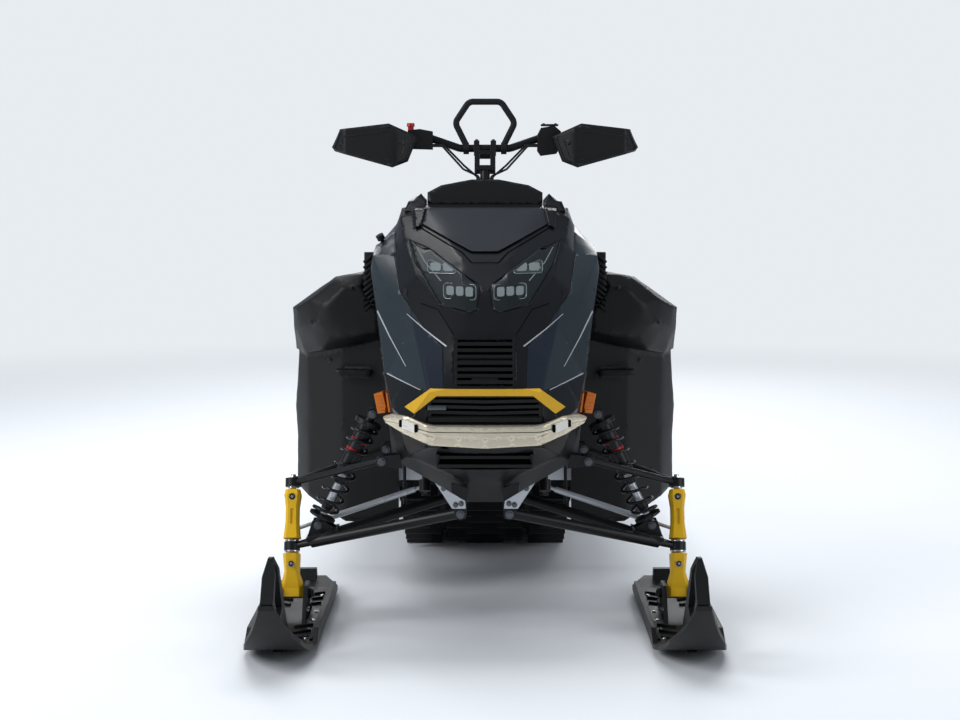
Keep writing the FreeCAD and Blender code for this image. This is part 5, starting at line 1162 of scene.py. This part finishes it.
# %% Teeth of the running boards
TOOTH_TURN = 0.35
teeth = bmesh.new()
for side in (-1, 1):
    for k in range(50):
        turn = Matrix.Rotation(-TOOTH_TURN if k % 2 else TOOTH_TURN, 3, "Z")
        box_in(teeth, mm(side * 456, 712 + 25 * k, 309.5), (0.018, 0.004, 0.007), turn)
    for k in range(12):
        for lane in (300, 430):
            box_in(teeth, mm(side * lane, 771 + 92 * k, 307.5), (0.012, 0.020, 0.004))
piece_from(teeth, "board_teeth", "alu", smooth=30)
print("boards toothed")

# %% [markdown]
# Flat sheet drums and bends, so ribs are pressed into the tunnel's sides and top. A slim box with soft
# edges, laid on the sheet, looks the same from outside. The ribs of a side grow longer to its middle.

# %% Pressed ribs of the tunnel
ribs = bmesh.new()
for side in (-1, 1):
    for k in range(5):
        size = (0.003, 1.10 - 0.1 * abs(k - 2), 0.006)
        box_in(ribs, mm(side * 276.6, 1330, 400 + 26 * k), size, None, 0.0012)
for x in (60, 96, 132, 168):
    for side in (-1, 1):
        box_in(ribs, mm(side * x, 1990, 591.5), (0.008, 0.46, 0.004), None, 0.0012)
piece_from(ribs, "tunnel_ribs", "alu", smooth=30)
print("tunnel ribbed")

# %% [markdown]
# The wheels inside the belt are rubber tyres on bright hubs with six round openings, each shown as a thin
# dull black disc of painted shade. One table gives each axle's place, radius and width, and the left faces of
# its wheels.

# %% Hubs of the wheels, with painted shade in their openings
WHEELS = [(2270, 152, 100, 30, (-200, -75, 45, 170))]
WHEELS += [(y, 118.3, 66, 24, (-185, 161)) for y in (1330, 1660, 1960)]
hubs = bmesh.new()
window_shade = bmesh.new()
for y, z, radius, width, starts in WHEELS:
    for x in starts:
        for face, way in ((x, -1), (x + width, 1)):
            a = mm(face, y, z)
            b = mm(face + way * 1.5, y, z)
            rod_in(hubs, a, b, radius * 0.00062, 28)
            rod_in(hubs, b, mm(face + way * 6, y, z), radius * 0.00024, 20, radius * 0.00020)
            for k in range(6):
                turn = math.pi * k / 3
                spot = b + Vector((0, math.cos(turn), math.sin(turn))) * radius * 0.00044
                # Each opening is a thin dull black disc: painted shade where the hub is open.
                rod_in(window_shade, spot, spot + Vector((way * 0.001, 0, 0)), radius * 0.00011, 14)
piece_from(hubs, "wheel_hubs", "alu", smooth=30)
piece_from(window_shade, "wheel_window_shade", "void_black", smooth=30)
print("hubs on", sum(len(row[4]) for row in WHEELS), "wheels")

# %% [markdown]
# The belt runs round three circles: the drive drum, the bend of the rails and the rear wheels. A clip of
# bent steel sits on its outer face between the lugs, so the cell walks the loop at even steps.

# %% Walk the belt and clip it
BELT_WHEELS = [(700, 330, 92), (1130, 202, 150), (2270, 152, 100)]
BELT_OUT = 8
LUGS = 51


def belt_steps():
    # The runs and arcs of the outer face, as on a belt drive: outer tangents between circles.
    touch = []
    for i in range(3):
        y1, z1, r1 = BELT_WHEELS[i]
        y2, z2, r2 = BELT_WHEELS[(i + 1) % 3]
        r1, r2 = r1 + BELT_OUT, r2 + BELT_OUT
        dy, dz = y2 - y1, z2 - z1
        length = math.hypot(dy, dz)
        angle = math.atan2(dz, dy) - math.acos((r1 - r2) / length)
        c, s = math.cos(angle), math.sin(angle)
        touch.append((y1 + r1 * c, z1 + r1 * s, y2 + r2 * c, z2 + r2 * s, angle))
    steps = []
    for i in range(3):
        y, z, r = BELT_WHEELS[i]
        start = touch[i - 1][4]
        end = touch[i][4]
        while end < start:
            end += 2 * math.pi
        steps.append(("arc", y, z, r + BELT_OUT, start, end))
        steps.append(("run",) + touch[i][:4])
    return steps


def length_of(kind, *values):
    if kind == "run":
        y1, z1, y2, z2 = values
        return math.hypot(y2 - y1, z2 - z1)
    y, z, r, start, end = values
    return r * (end - start)


def belt_spot(steps, s):
    # The place on the belt s millimetres along it, and the direction that points out of the loop.
    while True:
        for kind, *values in steps:
            length = length_of(kind, *values)
            if s <= length:
                if kind == "run":
                    y1, z1, y2, z2 = values
                    uy, uz = (y2 - y1) / length, (z2 - z1) / length
                    return y1 + uy * s, z1 + uz * s, uz, -uy
                y, z, r, start, end = values
                c, n = math.cos(start + s / r), math.sin(start + s / r)
                return y + r * c, z + r * n, c, n
            s -= length


steps = belt_steps()
total = sum(length_of(*step) for step in steps)
clips = bmesh.new()
blocks = bmesh.new()
for i in range(LUGS):
    y, z, ny, nz = belt_spot(steps, i * total / LUGS)
    turn = Matrix.Rotation(math.atan2(nz, ny), 3, "X")
    for x in (-100, 100):
        box_in(clips, mm(x, y + ny * 1.0, z + nz * 1.0), (0.020, 0.004, 0.036), turn)
    for x in (-232, -30, 30, 232):
        box_in(blocks, mm(x, y + ny * 3, z + nz * 3), (0.026, 0.007, 0.020), turn)
piece_from(clips, "track_clips", "steel_bolt", smooth=30)
piece_from(blocks, "track_studs", "track_rubber", smooth=30)
print("belt length", round(total), "mm")

# %% [markdown]
# Upholstery is the one soft thing here. A copy of the plain cushion is made slightly smaller, cut into
# even little faces and let swell by a cloth simulation with air pressure inside. A cap keeps every point
# near where it started, then seams are laid over it.

# %% Cut the cushion into even faces
CUSHION_VOXEL = 0.006
NARROWER = 0.955
SHORTER = 0.975
LOWER = 0.008

low_box, high_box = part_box("seat_cushion")
middle = (Vector(low_box) + Vector(high_box)) / 2
bm = bmesh.new()
bm.from_mesh(nodes["seat_cushion"].data)
bmesh.ops.remove_doubles(bm, verts=bm.verts, dist=SAME_SPOT)
for v in bm.verts:
    v.co.x = middle.x + (v.co.x - middle.x) * NARROWER
    v.co.y = middle.y + (v.co.y - middle.y) * SHORTER
    if v.co.z > middle.z:
        v.co.z -= LOWER
mesh = bpy.data.meshes.new("seat_pad")
bm.to_mesh(mesh)
bm.free()
pad = bpy.data.objects.new("seat_pad", mesh)
scene.collection.objects.link(pad)
remesh = pad.modifiers.new("even", "REMESH")
remesh.mode = "VOXEL"
remesh.voxel_size = CUSHION_VOXEL


def bake(obj):
    # Keeps what the modifiers made, as a mesh of its own.
    graph = bpy.context.evaluated_depsgraph_get()
    made = bpy.data.meshes.new_from_object(obj.evaluated_get(graph))
    obj.modifiers.clear()
    obj.data = made


bake(pad)
print("even cushion has", len(pad.data.vertices), "points")

# %% [markdown]
# Air pressure inside pushes the cloth out, stiff threads hold it back, and the shape between is what
# upholstery looks like. Twenty frames are enough for it to settle. The cap and the box come after it.

# %% Let the cushion swell
CUSHION_CAP = 0.012
INSET = 0.0004
LAST_FRAME = 20
before = [v.co.copy() for v in pad.data.vertices]
cloth = pad.modifiers.new("swell", "CLOTH")
cloth.settings.use_pressure = True
cloth.settings.uniform_pressure_force = 4
cloth.settings.effector_weights.gravity = 0
cloth.settings.tension_stiffness = 8
cloth.settings.quality = 4
for frame_number in range(1, LAST_FRAME + 1):
    scene.frame_set(frame_number)
bake(pad)
for v, start in zip(pad.data.vertices, before):
    move = v.co - start
    if move.length > CUSHION_CAP:
        v.co = start + move.normalized() * CUSHION_CAP
scene.frame_set(1)
for v in pad.data.vertices:
    # The underside rests flat on the seat base, and nothing leaves the plain cushion's box.
    for axis in range(3):
        v.co[axis] = min(max(v.co[axis], low_box[axis] + INSET), high_box[axis] - INSET)
pad.data.shade_smooth()
pad.data.materials.clear()
pad.data.materials.append(finish["seat_vinyl"])
soften = pad.modifiers.new("fine", "SUBSURF")
soften.levels = soften.render_levels = 1
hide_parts("seat_cushion")
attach(pad, "chassis")
print("cushion points", len(pad.data.vertices))

# %% [markdown]
# A seam is a raised line of thread and piping. It has to lie on the swollen cushion, so it is found by
# rays from above and from both sides, and a thin tube is carried along what they meet.

# %% Sew the seams
SEAT_REACH = 170
SIDE_DROP = 0.004
SEAM_POINTS = 4
pad_tree = BVHTree.FromObject(pad, bpy.context.evaluated_depsgraph_get())


def drop(x, y):
    # The top of the cushion at a place in the plan.
    return pad_tree.ray_cast(mm(x, y, 1200), -UP)[0]


def across_seat(y, half):
    return hits(drop(x, y) for x in range(-half, half + 1, 6))


def cross_section(y):
    # The line over the cushion from side to side.
    top = across_seat(y, 108)
    flanks = []
    for side, end in ((-1, 0), (1, -1)):
        way = Vector((-side, 0, 0))
        spots = hits(pad_tree.ray_cast(mm(side * SEAT_REACH, y, z), way)[0] for z in range(748, 850, 6))
        flanks.append([p for p in spots if not top or p.z < top[end].z - SIDE_DROP])
    return flanks[0] + top + list(reversed(flanks[1]))


seams = bmesh.new()
runs = [(cross_section(y), 0.0022, 6) for y in (1085, 1300, 1480)]
runs += [(hits(drop(side * 100, y) for y in range(985, 1560, 8)), 0.0024, 6) for side in (-1, 1)]
runs += [(across_seat(y, 84), 0.0016, 5) for y in range(1120, 1265, 24)]
for line, radius, sides in runs:
    if len(line) >= SEAM_POINTS:
        tube_in(seams, line, radius, sides)
piece_from(seams, "seat_seams", "thread", smooth=60)
print("seams sewn", len(runs))

# %% [markdown]
# A gloved hand turns the tank cap, so it has sixteen ridges round it. The tail lamp's moulded ribs run
# down its face, each between two rays from behind, so they lie on the lens whatever its shape.

# %% Tank cap and tail lamp
RIDGES = 16
cap = bmesh.new()
rod_in(cap, mm(0, 800, 931), mm(0, 802, 941), 0.044, 40)
rod_in(cap, mm(0, 802, 941), mm(0, 804, 957), 0.036, 36, 0.033)
for k in range(RIDGES):
    turn = 2 * math.pi * k / RIDGES
    spot = mm(0, 803, 949) + Vector((math.cos(turn), math.sin(turn), 0)) * 0.0350
    box_in(cap, spot, (0.006, 0.006, 0.015), Matrix.Rotation(turn, 3, "Z"), 0.001)
piece_from(cap, "tank_cap", "black_plastic", smooth=30)

lamp_ribs = bmesh.new()
tail_tree = tree_of(nodes["tail_light"])
for x in range(-64, 65, 16):
    ends = hits(tail_tree.ray_cast(mm(x, 1700, z), Vector((0, -1, 0)))[0] for z in (695, 722))
    if len(ends) == 2:
        tube_in(lamp_ribs, ends, 0.0022, 6)
piece_from(lamp_ribs, "tail_ribs", "red_lens")
print("cap ridged and tail lamp ribbed")

# %% [markdown]
# The gauge is a gloss black screen tipped towards the rider, with two keys on each side of it. The
# blank screen says enough, and its sharp reflection tells it from the dull console.

# %% Gauge screen and keys
SCREEN_TILT = Matrix.Rotation(math.radians(-48), 3, "X")
gauge = bmesh.new()
box_in(gauge, mm(0, 465, 1141), (0.150, 0.040, 0.010), SCREEN_TILT, 0.003)
piece_from(gauge, "gauge_screen", "gloss_black", smooth=30)
keys = bmesh.new()
for x in (-110, -96, 96, 110):
    box_in(keys, mm(x, 468, 1137), (0.010, 0.026, 0.012), SCREEN_TILT, 0.002)
piece_from(keys, "gauge_keys", "satin_grey", smooth=30)
print("gauge fitted")

# %% [markdown]
# The flap hangs from a row of bolts, and the rack and rear bumper are bolted on where their feet stand.

# %% Bolts at the tail
flap = bmesh.new()
for x in range(-240, 241, 60):
    bolt_in(flap, mm(x, 2306, 575), Vector((0, 1, 0)), 6, 3)
piece_from(flap, "flap_bolts", "steel_bolt", smooth=30)
lugs = bmesh.new()
for side in (-1, 1):
    for y in (1666, 2262):
        for dx in (-11, 11):
            bolt_in(lugs, mm(side * 205 + dx, y, 598), UP, 4.5, 3.5)
    for y in (2150, 2230):
        bolt_in(lugs, mm(side * 300.2, y, 540), Vector((side, 0, 0)), 6, 4)
    bolt_in(lugs, mm(side * 28, 2500, 546), UP, 5, 4)
piece_from(lugs, "rear_bolts", "steel_bolt", smooth=30)
print("tail bolted")

# %% [markdown]
# Body panels come off for service, so quarter-turn fasteners with a slot sit near their edges.
# Each is found by a ray from the side and stands on the normal there. The deflectors are bolted, and
# their bolts are placed by pixels of the photograph.

# %% Fasteners of the side panels
SLOT_TURN = Matrix.Rotation(0.6, 3, "Z")
fasteners = bmesh.new()
slots = bmesh.new()
side_tree = tree_of(skin["rear_cowl"], skin["side_panels"], nodes["belly_pan"], nodes["front_subframe"],
                    skin["nose_panel"])
for y, z in ((-20, 706), (140, 712), (300, 712), (460, 712), (470, 905), (30, 660), (230, 655), (400, 655),
             (530, 700), (530, 840), (700, 690)):
    spot, normal = beside(side_tree, y, z)
    if spot is not None:
        rod_in(fasteners, spot - normal * 0.001, spot + normal * 0.0022, 0.0085, 20, 0.0072)
        turn = normal.to_track_quat("Z", "Y").to_matrix() @ SLOT_TURN
        box_in(slots, spot + normal * 0.0023, (0.011, 0.0018, 0.0008), turn)
both_sides(fasteners)
both_sides(slots)
piece_from(fasteners, "panel_fasteners", "black_metal", smooth=30)
piece_from(slots, "fastener_slots", "steel_bolt", smooth=30)

pod_tree = tree_of(skin["side_deflectors"])
pod_bolts = bmesh.new()
for u, v in ((311, 322), (352, 287), (318, 470), (330, 360)):
    spot, normal = seen(pod_tree, u, v)
    if spot is not None:
        bolt_in(pod_bolts, spot - normal * 0.0005, normal, 6, 3)
both_sides(pod_bolts)
piece_from(pod_bolts, "deflector_bolts", "black_steel", smooth=30)
print("panels fastened")

# %% [markdown]
# Air reaches the engine bay through louvres in the sides: slanted bars with a dark plate behind them.
# Each amber reflector gets a lens of its own, a flat outline with a wall round it.

# %% Side louvres and reflector lenses
LOUVRE_STEP = 15.5
LOUVRE_SLANT = math.radians(38)
intakes = bmesh.new()
for side in (-1, 1):
    way = Matrix.Rotation(side * LOUVRE_SLANT, 3, "Y")
    for k in range(10):
        spot = mm(side * (318 - 0.2 * k), 296, 812 + LOUVRE_STEP * k)
        box_in(intakes, spot, (0.040, 0.020, 0.007), way, 0.0015)
    box_in(intakes, mm(side * 316, 310, 884), (0.030, 0.008, 0.165), None, 0.002)
piece_from(intakes, "side_intakes", "black_plastic", smooth=30)

LENS_OUTLINE = [(-284, 621), (-262, 627), (-254, 590), (-256, 573), (-274, 571)]
lens = bmesh.new()
for side in (-1, 1):
    front = [lens.verts.new(mm(-side * x, -84, z)) for x, z in LENS_OUTLINE]
    back = [lens.verts.new(mm(-side * (x + 6), -48, z)) for x, z in LENS_OUTLINE]
    prism_in(lens, front, back)
piece_from(lens, "reflector_lenses", "amber", smooth=20)
print("louvres and lenses in place")

# %% [markdown]
# The last cell measures the box of the dressed machine.

# %% Finish
low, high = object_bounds()
